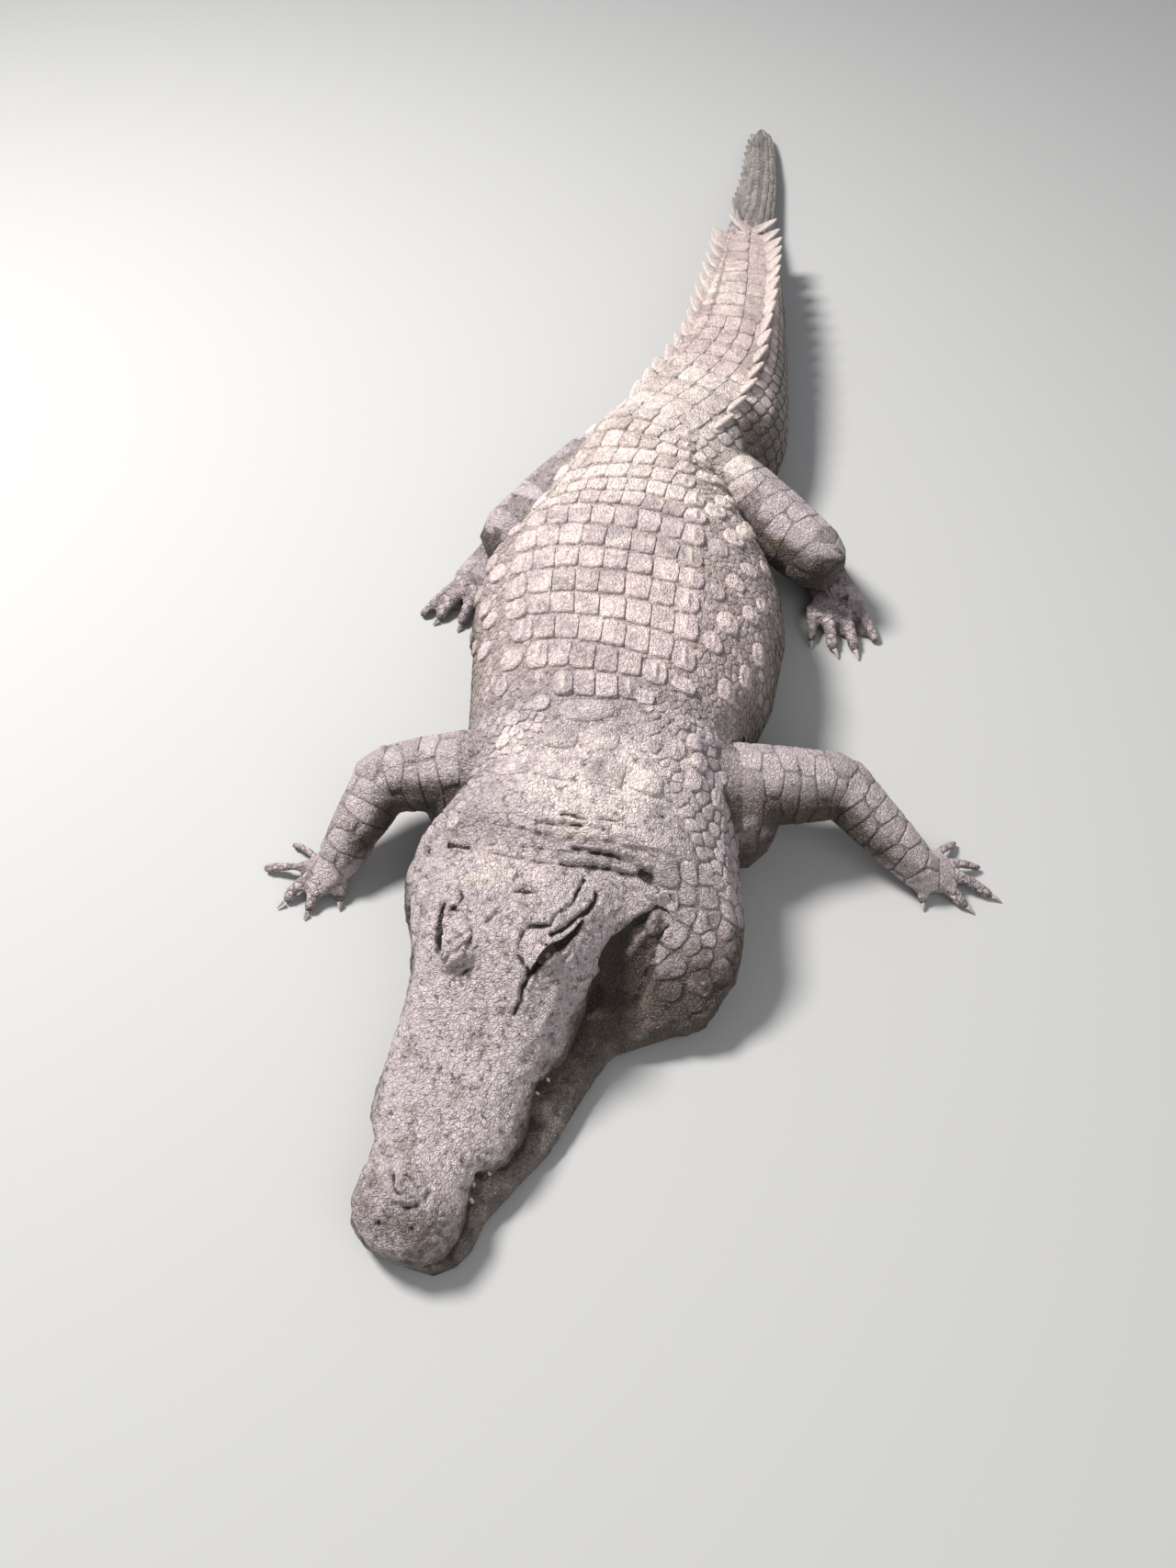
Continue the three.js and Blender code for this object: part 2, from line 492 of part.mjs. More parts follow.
/** The upper jaw and skull with brows, nostril disc, eye sockets and the teeth that show. */
function headUpper() {
  const brows = Object.values(BROWS).map(({ s, left, z }) => ellipsoid(
    headPoint(s, left, z).toArray(), BROW_RADII, HEAD_TURN));
  const disc = ellipsoid(
    headPoint(NOSTRIL_DISC.s, between(HEAD_SECTIONS, 's', NOSTRIL_DISC.s).offset, NOSTRIL_DISC.z).toArray(),
    [NOSTRIL_DISC.across, NOSTRIL_DISC.along, NOSTRIL_DISC.up], HEAD_TURN);
  const teeth = UPPER_TEETH_RIGHT.map(([s, length]) => {
    const { lip, lipZ, offset } = lipAt(s);
    return tooth(s, offset - lip + TOOTH_RADIUS + 2, lipZ, length, -1);
  });
  const sockets = Object.values(EYES).map((eye) => eyeball(eye, CUT_GAP));
  return joined([upperJawSolid(), ...brows, disc, ...teeth]).subtract(joined(sockets));
}

/** The lower jaw with the teeth that stand free of the upper one. */
function lowerJaw() {
  const teeth = LOWER_TEETH_LEFT.map(([s, length]) => {
    const { lip, lipZ, offset } = lipAt(s);
    return tooth(s, offset + lip + TOOTH_RADIUS + 3, lipZ * 0.88, length, 1);
  });
  return joined([lowerJawSolid(), ...teeth]);
}

// ---------------------------------------------------------------- limbs

/** A rounded length of limb between two points, with its radii and how flat it is pressed. */
function limbLength(from, to, radii, { high = radii, sides = LIMB_SIDES, bulge = 0, arch = 0 } = {}) {
  const [start, end] = [new THREE.Vector3(...from), new THREE.Vector3(...to)];
  const along = end.clone().sub(start);
  const length = along.length();
  along.normalize();
  const across = new THREE.Vector3(along.y, -along.x, 0).normalize();
  const up = new THREE.Vector3().crossVectors(across, along);
  const mix = ([first, last], t) => first + (last - first) * t;
  const stations = [
    { t: 0, cap: 0.6, side: -1 }, ...[0, 0.5, 1].map((t) => ({ t, cap: 1, side: 0 })),
    { t: 1, cap: 0.6, side: 1 },
  ];
  return loft(stations.map(({ t, cap, side }) => {
    const swell = 1 + bulge * Math.sin(Math.PI * t);
    const [wide, tall] = [mix(radii, t) * cap * swell, mix(high, t) * cap * swell];
    const beyond = side * mix(radii, t) * Math.sqrt(1 - cap * cap);
    const centre = start.clone().addScaledVector(along, t * length + beyond);
    centre.addScaledVector(up, arch * Math.sin(Math.PI * t));
    return Array.from({ length: sides }, (_, index) => {
      const angle = (2 * Math.PI * (index + 0.5)) / sides;
      return centre.clone().addScaledVector(across, wide * Math.cos(angle))
        .addScaledVector(up, tall * Math.sin(angle));
    });
  }));
}

/** The web between two neighbouring digits, a low flat plate with a hollow front edge. */
function web(first, second, share) {
  const [a, b] = [first, second].map(({ knuckle }) => new THREE.Vector2(...knuckle));
  const [c, d] = [second, first].map(({ knuckle, tip }) => new THREE.Vector2(...knuckle)
    .lerp(new THREE.Vector2(...tip), share));
  const hollow = c.clone().add(d).multiplyScalar(0.5).lerp(a.clone().add(b).multiplyScalar(0.5), 0.25);
  const overlap = b.clone().sub(a).multiplyScalar(WEB_OVERLAP);
  for (const corner of [a, d]) corner.sub(overlap);
  for (const corner of [b, c]) corner.add(overlap);
  const outline = new THREE.Shape();
  outline.moveTo(a.x, a.y);
  outline.lineTo(b.x, b.y);
  outline.lineTo(c.x, c.y);
  outline.quadraticCurveTo(hollow.x, hollow.y, d.x, d.y);
  outline.closePath();
  const plate = new THREE.ExtrudeGeometry(
    outline, { depth: WEB_THICKNESS, bevelEnabled: false, curveSegments: 2 });
  plate.translate(0, 0, WEB_HEIGHT);
  return solidOf(plate);
}

/** The palm or sole with its digits and, on a hind foot, the webs between these. */
function pawSolid({ pair, paw, digits }, grow = 0) {
  const larger = (radii) => radii.map((radius) => radius + grow);
  const sole = limbLength(paw.from, paw.to, larger(paw.half), { high: larger(paw.high) });
  const fingers = digits.map(({ knuckle, tip, radius }) => limbLength(
    knuckle, tip, larger(radius), { sides: DIGIT_SIDES, arch: 5 }));
  const webs = pair === 'front' ? [] : digits.slice(1).map((digit, index) => web(
    digits[index], digit, 0.5 + 0.15 * index));
  return joined([sole, ...fingers, ...webs]).subtract(FLOOR_CUT);
}

/** A claw: a horn that runs on from its digit's tip and curves down to a blunt point. */
function clawSolid({ tip, claw, radius }) {
  const [start, end] = [new THREE.Vector3(...tip), new THREE.Vector3(...claw)];
  const middle = start.clone().lerp(end, 0.6).add(new THREE.Vector3(0, 0, 4));
  const curve = new THREE.QuadraticBezierCurve3(start, middle, end);
  const rings = [0, 0.5, 1].map((t) => {
    const along = curve.getTangent(t);
    const across = new THREE.Vector3(along.y, -along.x, 0).normalize();
    const up = new THREE.Vector3().crossVectors(across, along);
    const thick = radius[1] * 0.72 * (1 - 0.72 * t);
    return Array.from({ length: CLAW_SIDES }, (_, index) => {
      const angle = (2 * Math.PI * index) / CLAW_SIDES;
      return curve.getPoint(t).addScaledVector(across, thick * Math.cos(angle))
        .addScaledVector(up, thick * Math.sin(angle));
    });
  });
  return loft(rings).subtract(FLOOR_CUT);
}

/** The upper length of a limb with the muscle that spreads from it to the body and the floor. */
function upperLimb({ root, bend, rootRadius, bendRadius, mass }, grow = 0) {
  const length = limbLength(root, bend, [rootRadius + grow, bendRadius + grow], { bulge: 0.05 });
  return length.add(ellipsoid(mass.at, mass.radii.map((radius) => radius + grow), 0, [9, 6]));
}

/** One limb as its named solids, cut clear of the body, of one another and of the floor. */
function limbSolids(limb, bodyGrown) {
  const names = SEGMENT_NAMES[limb.pair];
  const pawGrown = pawSolid(limb, CUT_GAP);
  const lower = limbLength(limb.bend, limb.end, [limb.bendRadius * 0.94, limb.endRadius], { bulge: 0.04 });
  const named = {
    [names.upper]: upperLimb(limb).subtract(FLOOR_CUT).subtract(bodyGrown),
    [names.lower]: lower.subtract(joined([FLOOR_CUT, bodyGrown, upperLimb(limb, CUT_GAP), pawGrown])),
    [names.paw]: pawSolid(limb),
  };
  const claws = limb.digits.filter(({ claw }) => claw).map((digit) => clawSolid(digit).subtract(pawGrown));
  return { named, claws };
}

// ---------------------------------------------------------------- the animal

const crocodile = new THREE.Group();

/** Adds one named solid to the animal, in its largest piece. */
function addNode(name, solid, material) {
  const pieces = solid.decompose().sort((a, b) => b.volume() - a.volume());
  const node = new THREE.Mesh(geometryOf(pieces[0]), material);
  node.name = name;
  crocodile.add(node);
}

const headGrown = joined([upperJawSolid(CUT_GAP), lowerJawSolid(CUT_GAP)]);
const bodyMaterial = (name) => (name.startsWith('tail') ? HIDE_TAIL : HIDE_BACK);

addNode('head_upper', headUpper(), HIDE_HEAD);
addNode('lower_jaw', lowerJaw(), HIDE_JAW);
addNode('eye_left', eyeball(EYES.left), EYE_SHELL);
addNode('eye_right', eyeball(EYES.right), EYE_SHELL);

for (const { name, from, to, rings } of BODY_PIECES) {
  const fins = crestFins(from, to).map((fin) => trimmed(trimmed(fin, from, 1), to, -1));
  const flesh = joined([bodyPiece({ from, to, rings }), ...fins]);
  addNode(name, name === 'neck' ? flesh.subtract(headGrown) : flesh, bodyMaterial(name));
}

const bodyGrown = bodyGrownSolid().add(headGrown);
for (const limb of LIMBS) {
  const { named, claws } = limbSolids(limb, bodyGrown);
  for (const [part, solid] of Object.entries(named)) addNode(`${part}_${limb.side}`, solid, HIDE_LIMB);
  claws.forEach((solid, index) => addNode(
    `claw_${limb.pair}_${limb.side}_${index + 1}`, solid, CLAW_HORN));
}

export default crocodile;
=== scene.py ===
"""A life-size crocodile that lies flat on its belly, dressed over its solids. Metres, +Z up, head to -Y."""

import logging
import math
from collections.abc import Callable
from dataclasses import dataclass, field, fields
from enum import Enum

import bmesh
import bpy
import numpy as np
from bmesh.types import BMesh
from bpy.types import Material, Mesh, Object
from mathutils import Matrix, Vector
from mathutils.bvhtree import BVHTree


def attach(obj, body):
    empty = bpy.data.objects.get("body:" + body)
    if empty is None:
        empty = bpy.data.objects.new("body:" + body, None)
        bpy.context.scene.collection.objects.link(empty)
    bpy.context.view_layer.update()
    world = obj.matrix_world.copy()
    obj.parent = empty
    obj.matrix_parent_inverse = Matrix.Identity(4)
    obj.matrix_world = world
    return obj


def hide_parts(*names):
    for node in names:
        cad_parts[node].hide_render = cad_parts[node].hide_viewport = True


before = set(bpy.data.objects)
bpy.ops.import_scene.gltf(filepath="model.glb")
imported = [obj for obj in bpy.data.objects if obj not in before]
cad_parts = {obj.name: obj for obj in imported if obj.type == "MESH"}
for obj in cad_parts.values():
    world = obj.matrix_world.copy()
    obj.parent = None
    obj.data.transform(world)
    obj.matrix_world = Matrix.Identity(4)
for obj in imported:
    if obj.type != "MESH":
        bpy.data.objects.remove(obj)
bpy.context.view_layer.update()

LOG = logging.getLogger("crocodile")
BODY = "root"
MM = 0.001
HEAD_NODES = ["head_upper", "lower_jaw"]
BODY_NODES = ["neck", "trunk_front", "trunk_middle", "trunk_rear", "tail_base", "tail_second",
              "tail_third", "tail_fourth", "tail_fifth", "tail_end"]
LIMB_NODES = [f"{part}_{side}" for side in ("left", "right")
              for part in ("upper_arm", "forearm", "hand", "thigh", "shank", "foot")]
FLESH_NODES = HEAD_NODES + BODY_NODES + LIMB_NODES

Array = np.ndarray
Colour = tuple[float, float, float]
Point = tuple[float, float, float]
# A value for each place of a chart, told by how far along and how far round the place lies.
AtPlace = Callable[[Array, Array], Array]
# The foot and the upright direction of a fin, told by its y and its way round.
Ridge = Callable[[float, float], tuple[Array, Array]]


class Side(Enum):
    """The crocodile's own sides; the value is the sign of the distance to the left."""

    LEFT = 1
    RIGHT = -1


# ---------- shapes and rays


def copied(names: list[str]) -> BMesh:
    """Copies CAD nodes into one bmesh with their loose triangles merged.

    Args:
        names: the nodes to copy.

    Returns:
        A bmesh of closed solids in the row frame.
    """
    shell = bmesh.new()
    for name in names:
        shell.from_mesh(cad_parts[name].data)
    bmesh.ops.remove_doubles(shell, verts=shell.verts, dist=1e-6)
    return shell


def ray_tree(names: list[str]) -> BVHTree:
    """A ray tree of copies of CAD nodes."""
    shell = copied(names)
    tree = BVHTree.FromBMesh(shell)
    shell.free()
    return tree


def cast(tree: BVHTree, starts: Array, directions: Array, reach: float) -> Array:
    """Casts many rays.

    Args:
        tree: the surface to hit.
        starts: the rays' starts, one in each row.
        directions: the rays' directions, one in each row.
        reach: how far a ray goes.

    Returns:
        The distance to the first hit of each ray, or nan where it hits nothing.
    """
    hits = (tree.ray_cast(start, direction, reach)[3]
            for start, direction in zip(starts.tolist(), directions.tolist()))
    return np.array([math.nan if hit is None else hit for hit in hits])


def filled(values: Array) -> Array:
    """The same values with each gap bridged from its neighbours."""
    known = ~np.isnan(values)
    places = np.arange(len(values))
    return np.interp(places, places[known], values[known])


def softened(values: Array, sigma: float, axis: int = 0, closed: bool = False) -> Array:
    """Blurs values along one axis with a bell curve.

    Args:
        values: the values to blur.
        sigma: the width of the bell in steps.
        axis: the axis to blur along.
        closed: whether that axis runs round and meets itself.

    Returns:
        The blurred values in the same shape.
    """
    reach = int(math.ceil(3 * sigma))
    offsets = np.arange(-reach, reach + 1)
    bell = np.exp(-0.5 * (offsets / sigma) ** 2)
    bell /= bell.sum()
    margins = [(0, 0)] * values.ndim
    margins[axis] = (reach, reach)
    wide = np.pad(values, margins, mode="wrap" if closed else "edge")
    count = values.shape[axis]
    return sum(weight * np.take(wide, np.arange(start, start + count), axis=axis)
               for start, weight in enumerate(bell))


def unit(vectors: Array) -> Array:
    """The same vectors at length one."""
    return vectors / np.maximum(np.linalg.norm(vectors, axis=-1, keepdims=True), 1e-9)


def ramp(values: Array, low: float, high: float) -> Array:
    """A smooth step from 0 at low to 1 at high; low may be the larger."""
    share = np.clip((values - low) / (high - low), 0, 1)
    return share * share * (3 - 2 * share)


# Large primes that scatter the corners of a noise's cells, one for each axis and one for their mix.
SCATTER = (73856093, 19349663, 83492791, 1274126177)
LEVELS = 65536


def value_noise(points: Array, cell: float, seed: int) -> Array:
    """Smooth noise from -1 to 1 at places in space.

    Args:
        points: the places, one in each row.
        cell: the size of the noise's cells in metres.
        seed: a number that sets one noise apart from another.

    Returns:
        One value for each place.
    """
    scaled = points / cell + 31.7 * seed
    whole = np.floor(scaled).astype(np.int64)
    part = scaled - whole
    part = part * part * (3 - 2 * part)
    total = np.zeros(len(points))
    for corner in np.ndindex(2, 2, 2):
        spot = whole + corner
        mixed = (spot[:, 0] * SCATTER[0]) ^ (spot[:, 1] * SCATTER[1]) ^ (spot[:, 2] * SCATTER[2])
        mixed = (mixed ^ (mixed >> 13)) * SCATTER[3] & 0x7FFFFFFF
        share = np.prod(np.where(np.array(corner) == 1, part, 1 - part), axis=1)
        total += share * (mixed % LEVELS) / LEVELS
    return 2 * total - 1


def fractal_noise(points: Array, cell: float, seed: int, layers: int = 3) -> Array:
    """Several layers of smooth noise, each finer and fainter than the one before."""
    return sum(value_noise(points, cell / 2 ** layer, seed + layer) / 2 ** layer
               for layer in range(layers)) / 1.6


def path_distance(points: Array, path: Array) -> Array:
    """How far each place lies from a path of straight runs."""
    nearest = np.full(len(points), 1e9)
    for start, end in zip(path[:-1], path[1:]):
        run = end - start
        share = np.clip((points - start) @ run / max(run @ run, 1e-12), 0, 1)
        gap = np.linalg.norm(points - (start + share[:, None] * run), axis=1)
        nearest = np.minimum(nearest, gap)
    return nearest


def nearest_path(points: Array, paths: list[Array]) -> Array:
    """How far each place lies from the nearest of several paths."""
    return np.min([path_distance(points, path) for path in paths], axis=0)


def finished_object(name: str, mesh: Mesh, slot: str, *replaced: str) -> Object:
    """Puts a mesh in the scene as a piece that rides on the body.

    Args:
        name: the piece's name.
        mesh: its mesh, in the row frame.
        slot: the name of a material slot; it is not used.
        replaced: the CAD nodes that it stands for.

    Returns:
        The piece.
    """
    piece = bpy.data.objects.new(name, mesh)
    bpy.context.scene.collection.objects.link(piece)
    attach(piece, BODY)
    if replaced:
        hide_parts(*replaced)
    LOG.info("%s: %d faces", name, len(mesh.polygons))
    return piece


def smooth_piece(shell: BMesh, name: str, slot: str, finish: Material, *replaced: str) -> Object:
    """Makes a smooth piece of a bmesh, which is freed.

    Args:
        shell: the piece's shape, in the row frame.
        name: its name.
        slot: the record's material slot.
        finish: its material.
        replaced: the CAD nodes that it stands for.

    Returns:
        The piece.
    """
    for face in shell.faces:
        face.smooth = True
    mesh = bpy.data.meshes.new(name)
    shell.to_mesh(mesh)
    shell.free()
    mesh.materials.append(finish)
    return finished_object(name, mesh, slot, *replaced)


def set_attribute(mesh: Mesh, name: str, values: Array) -> None:
    """Stores four numbers at each vertex of a mesh as a colour attribute."""
    layer = mesh.color_attributes.new(name, "FLOAT_COLOR", "POINT")
    layer.data.foreach_set("color", values.astype(np.float32).ravel())


# ---------- the frames of head, body and limbs


@dataclass
class HeadFrame:
    """The head's own measures: s runs back from the snout's front, left is across, z is up."""

    snout_front: tuple[float, float] = (-0.139, -1.072)
    turn: float = math.radians(-9.4)

    def to_world(self, s: Array, left: Array, z: Array) -> Array:
        """Places in the row frame of places given in the head's measures, in millimetres."""
        along = np.array([-math.sin(self.turn), math.cos(self.turn)])
        s, left, z = (np.asarray(value, float) * MM for value in (s, left, z))
        return np.stack([self.snout_front[0] + along[0] * s + along[1] * left,
                         self.snout_front[1] + along[1] * s - along[0] * left, z], axis=-1)

    def to_head(self, points: Array) -> tuple[Array, Array]:
        """The distance back from the snout and to the left of places, in millimetres."""
        along = np.array([-math.sin(self.turn), math.cos(self.turn)])
        offset = points[:, :2] - np.array(self.snout_front)
        return offset @ along / MM, (offset[:, 0] * along[1] - offset[:, 1] * along[0]) / MM


@dataclass
class Limb:
    """The joint centres of one limb, its thickness there, and its digits from knuckle to tip."""

    side: Side
    front: bool
    root: Point
    bend: Point
    end: Point
    palm: Point
    radii: Point
    digits: list[tuple[Point, Point]]

    def runs(self) -> list[tuple[Array, Array, float, float]]:
        """The limb's straight runs as start, end and the radius at each, in metres."""
        joints = [np.array(joint) * MM for joint in (self.root, self.bend, self.end, self.palm)]
        radii = [radius * MM for radius in (*self.radii, self.radii[2] * 1.2)]
        return list(zip(joints[:-1], joints[1:], radii[:-1], radii[1:]))

    def digit_paths(self) -> list[Array]:
        """The knuckle and the tip of each digit, in metres."""
        return [np.array(digit) * MM for digit in self.digits]


LIMBS = [
    Limb(Side.LEFT, True, root=(182, -362, 132), bend=(352, -318, 112), end=(486, -398, 38),
         palm=(520, -388, 23), radii=(64, 50, 31), digits=[
             ((494, -408, 22), (497, -431, 10)), ((514, -400, 23), (556, -430, 10)),
             ((530, -386, 22), (594, -406, 9)), ((524, -370, 22), (580, -360, 8)),
             ((506, -366, 22), (546, -320, 7))]),
    Limb(Side.RIGHT, True, root=(-182, -386, 132), bend=(-318, -410, 112), end=(-372, -520, 40),
         palm=(-396, -543, 23), radii=(62, 50, 32), digits=[
             ((-364, -540, 22), (-359, -564, 11)), ((-390, -550, 23), (-402, -588, 10)),
             ((-412, -544, 22), (-438, -578, 9)), ((-416, -526, 22), (-486, -530, 8)),
             ((-404, -512, 22), (-458, -480, 7))]),
    Limb(Side.LEFT, False, root=(112, 334, 138), bend=(298, 182, 112), end=(296, 284, 46),
         palm=(354, 168, 24), radii=(70, 57, 36), digits=[
             ((306, 152, 23), (309, 90, 10)), ((328, 148, 24), (346, 76, 11)),
             ((358, 152, 24), (383, 80, 11)), ((386, 160, 22), (419, 106, 9))]),
    Limb(Side.RIGHT, False, root=(-122, 322, 138), bend=(-240, 156, 112), end=(-254, 258, 46),
         palm=(-300, 122, 24), radii=(70, 56, 36), digits=[
             ((-272, 100, 23), (-268, 30, 10)), ((-294, 100, 24), (-308, 34, 11)),
             ((-314, 106, 24), (-350, 42, 11)), ((-328, 120, 22), (-380, 44, 9))]),
]


class Chart:
    """A piece of flesh unrolled flat: b runs along it and a round it, both in metres."""

    def place(self, b: Array, a: Array) -> Array:
        """Places near the flesh, in the row frame."""
        raise NotImplementedError

    def outward(self, b: Array, a: Array) -> Array:
        """The directions out of the flesh at the same places."""
        raise NotImplementedError

    def unwrap(self, b: Array, a: Array) -> Array:
        """Where the places lie on the flat unwrap that colours are baked on."""
        raise NotImplementedError


@dataclass
class BodyTube(Chart):
    """The smooth flesh of neck, trunk and tail, measured on the solids.

    Stations lie along the body at each step of y. At a station a place is told by its distance
    round the body from the middle line of the back, positive to the left. The sides are sought
    side_height above the floor from beside the body, fins as narrow as fin_width are left out, and
    the flesh lies the sink below the solids.
    """

    front: float = -0.70
    back: float = 2.022
    step: float = 0.010
    around: int = 96
    side_height: float = 0.028
    beside: float = 0.8
    fin_width: float = 0.018
    sink: float = 0.003
    fan_step: float = 0.005
    fan_reach: float = 0.78
    # The middle line of the back as y and x; behind the hips it runs along the top of the tail.
    spine: tuple[tuple[float, float], ...] = (
        (-0.60, 0.005), (-0.47, -0.010), (-0.331, -0.010), (-0.237, -0.019), (-0.134, -0.031),
        (-0.030, -0.040), (0.082, -0.047), (0.167, -0.046), (0.257, -0.037), (0.334, -0.025))
    y: Array = field(init=False)
    centre: Array = field(init=False)
    sideways: Array = field(init=False)
    radius: Array = field(init=False)
    fan: Array = field(init=False)
    fan_places: Array = field(init=False)
    half_round: Array = field(init=False)

    def __post_init__(self) -> None:
        """Measures the solids and lays the fan of places round each station."""
        self.y = np.arange(self.front, self.back, self.step)
        tree = ray_tree(HEAD_NODES + BODY_NODES)
        self._find_axis(tree)
        self._find_radius(tree)
        self._lay_fan()

    def _find_axis(self, tree: BVHTree) -> None:
        """Finds the middle of the body at each station and the direction across it."""
        low = np.full_like(self.y, self.side_height)
        edges = []
        for sign in (1, -1):
            starts = np.stack([np.full_like(self.y, sign * self.beside), self.y, low], axis=1)
            directions = np.tile([-sign * 1.0, 0, 0], (len(self.y), 1))
            edges.append(sign * (self.beside - filled(cast(tree, starts, directions, 2 * self.beside))))
        middle = softened((edges[0] + edges[1]) / 2, 5)
        starts = np.stack([middle, self.y, np.ones_like(self.y)], axis=1)
        top = 1 - filled(cast(tree, starts, np.tile([0, 0, -1.0], (len(self.y), 1)), 2))
        self.centre = np.stack([middle, self.y, softened(top, 4) * 0.42], axis=1)
        along = unit(np.stack([np.gradient(middle, self.y), np.ones_like(self.y), 0 * self.y], axis=1))
        self.sideways = np.stack([along[:, 1], -along[:, 0], 0 * self.y], axis=1)

    def directions(self, angles: Array) -> Array:
        """The outward directions at each station for angles, 0 to the left and a quarter turn up."""
        across = self.sideways[:, None] * np.cos(angles)[..., None]
        return across + np.array([0, 0, 1.0]) * np.sin(angles)[..., None]

    def _find_radius(self, tree: BVHTree) -> None:
        """Measures how far out the flesh reaches, and smooths facets and crest fins away."""
        reach = 0.6
        angles = np.tile(np.arange(self.around) * 2 * math.pi / self.around, (len(self.y), 1))
        outward = self.directions(angles)
        starts = self.centre[:, None] + outward * reach
        gaps = cast(tree, starts.reshape(-1, 3), -outward.reshape(-1, 3), reach)
        radius = (reach - gaps).reshape(len(self.y), self.around)
        radius = np.stack([filled(column) for column in radius.T], axis=1)
        for row in radius:
            spacing = 2 * math.pi * row.mean() / self.around
            half = max(1, round(self.fin_width / spacing / 2))
            shifts = range(-half, half + 1)
            row[:] = np.min([np.roll(row, shift) for shift in shifts], axis=0)
            row[:] = np.max([np.roll(row, shift) for shift in shifts], axis=0)
        radius = softened(softened(radius, 2.2, 1, closed=True), 2.0, 0)
        self.radius = radius - self.sink

    def _lay_fan(self) -> None:
        """Lays places at even distances round each station from the middle line of the back."""
        spine_y, spine_x = np.array(self.spine).T
        offset = np.interp(self.y, spine_y, spine_x - np.interp(spine_y, self.y, self.centre[:, 0]))
        offset *= ramp(self.y, 0.75, 0.35)
        top = self.radius[:, self.around // 4]
        crown = math.pi / 2 - np.arcsin(np.clip(offset / top, -0.9, 0.9))
        turns = np.linspace(-math.pi, math.pi, 193)
        steps = np.arange(self.around + 1) * 2 * math.pi / self.around
        self.fan_places = np.arange(-self.fan_reach, self.fan_reach + 1e-6, self.fan_step)
        angles = crown[:, None] - turns
        radius = np.array([np.interp(row % (2 * math.pi), steps, np.append(reach, reach[0]))
                           for row, reach in zip(angles, self.radius)])
        points = self.centre[:, None] + self.directions(angles) * radius[..., None]
        points[..., 2] = np.maximum(points[..., 2], 0)
        self.fan = np.empty((len(self.y), len(self.fan_places), 3))
        self.half_round = np.empty(len(self.y))
        for row, ring in enumerate(points):
            lengths = np.append(0, np.cumsum(np.linalg.norm(np.diff(ring, axis=0), axis=1)))
            lengths -= lengths[len(turns) // 2]
            self.half_round[row] = min(-lengths[0], lengths[-1])
            for axis in range(3):
                self.fan[row, :, axis] = np.interp(self.fan_places, lengths, ring[:, axis])

    def place(self, b: Array, a: Array) -> Array:
        """Places on the flesh: b is y, and a is the way round from the back's middle."""
        row = np.clip((b - self.y[0]) / self.step, 0, len(self.y) - 1.001)
        column = np.clip((a + self.fan_reach) / self.fan_step, 0, len(self.fan_places) - 1.001)
        r, c = row.astype(int), column.astype(int)
        fr, fc = (row - r)[..., None], (column - c)[..., None]
        near = self.fan[r, c] * (1 - fc) + self.fan[r, c + 1] * fc
        far = self.fan[r + 1, c] * (1 - fc) + self.fan[r + 1, c + 1] * fc
        return near * (1 - fr) + far * fr

    def outward(self, b: Array, a: Array) -> Array:
        """The directions straight out of the flesh at the same places."""
        along = self.place(b + 0.012, a) - self.place(b - 0.012, a)
        across = self.place(b, a + 0.012) - self.place(b, a - 0.012)
        return unit(np.cross(across, along))

    def unwrap(self, b: Array, a: Array) -> Array:
        """The tube cut open along the belly."""
        return np.stack([0.5 + a / 1.62, 0.02 + (b - self.front) / 2.86], axis=-1)

    def shell(self) -> BMesh:
        """The flesh as one closed tube."""
        tube = bmesh.new()
        bmesh.ops.create_grid(tube, x_segments=self.around, y_segments=len(self.y) - 1, size=1)
        angles = np.tile(np.arange(self.around) * 2 * math.pi / self.around, (len(self.y), 1))
        points = self.centre[:, None] + self.directions(angles) * self.radius[..., None]
        points[..., 2] = np.maximum(points[..., 2], self.sink)
        for vertex in tube.verts:
            column = round((vertex.co.x + 1) / 2 * self.around) % self.around
            row = round((vertex.co.y + 1) / 2 * (len(self.y) - 1))
            vertex.co = points[row, column]
        bmesh.ops.remove_doubles(tube, verts=tube.verts, dist=1e-6)
        rims = [edge for edge in tube.edges if edge.is_boundary]
        bmesh.ops.holes_fill(tube, edges=rims, sides=0)
        bmesh.ops.recalc_face_normals(tube, faces=tube.faces)
        return tube


# ---------- the folds of the head


@dataclass(frozen=True)
class Fold:
    """A crease in the head's skin: its depth, half width and path, and how high its lips stand."""

    depth: float
    width: float
    path: tuple[tuple[float, float], ...]
    lip: float = 0.5


@dataclass(frozen=True)
class Slit:
    """An eye's opening: places down its middle, half its width at each and how deep the skin sinks."""

    path: tuple[tuple[float, float, float], ...]
    drop: float


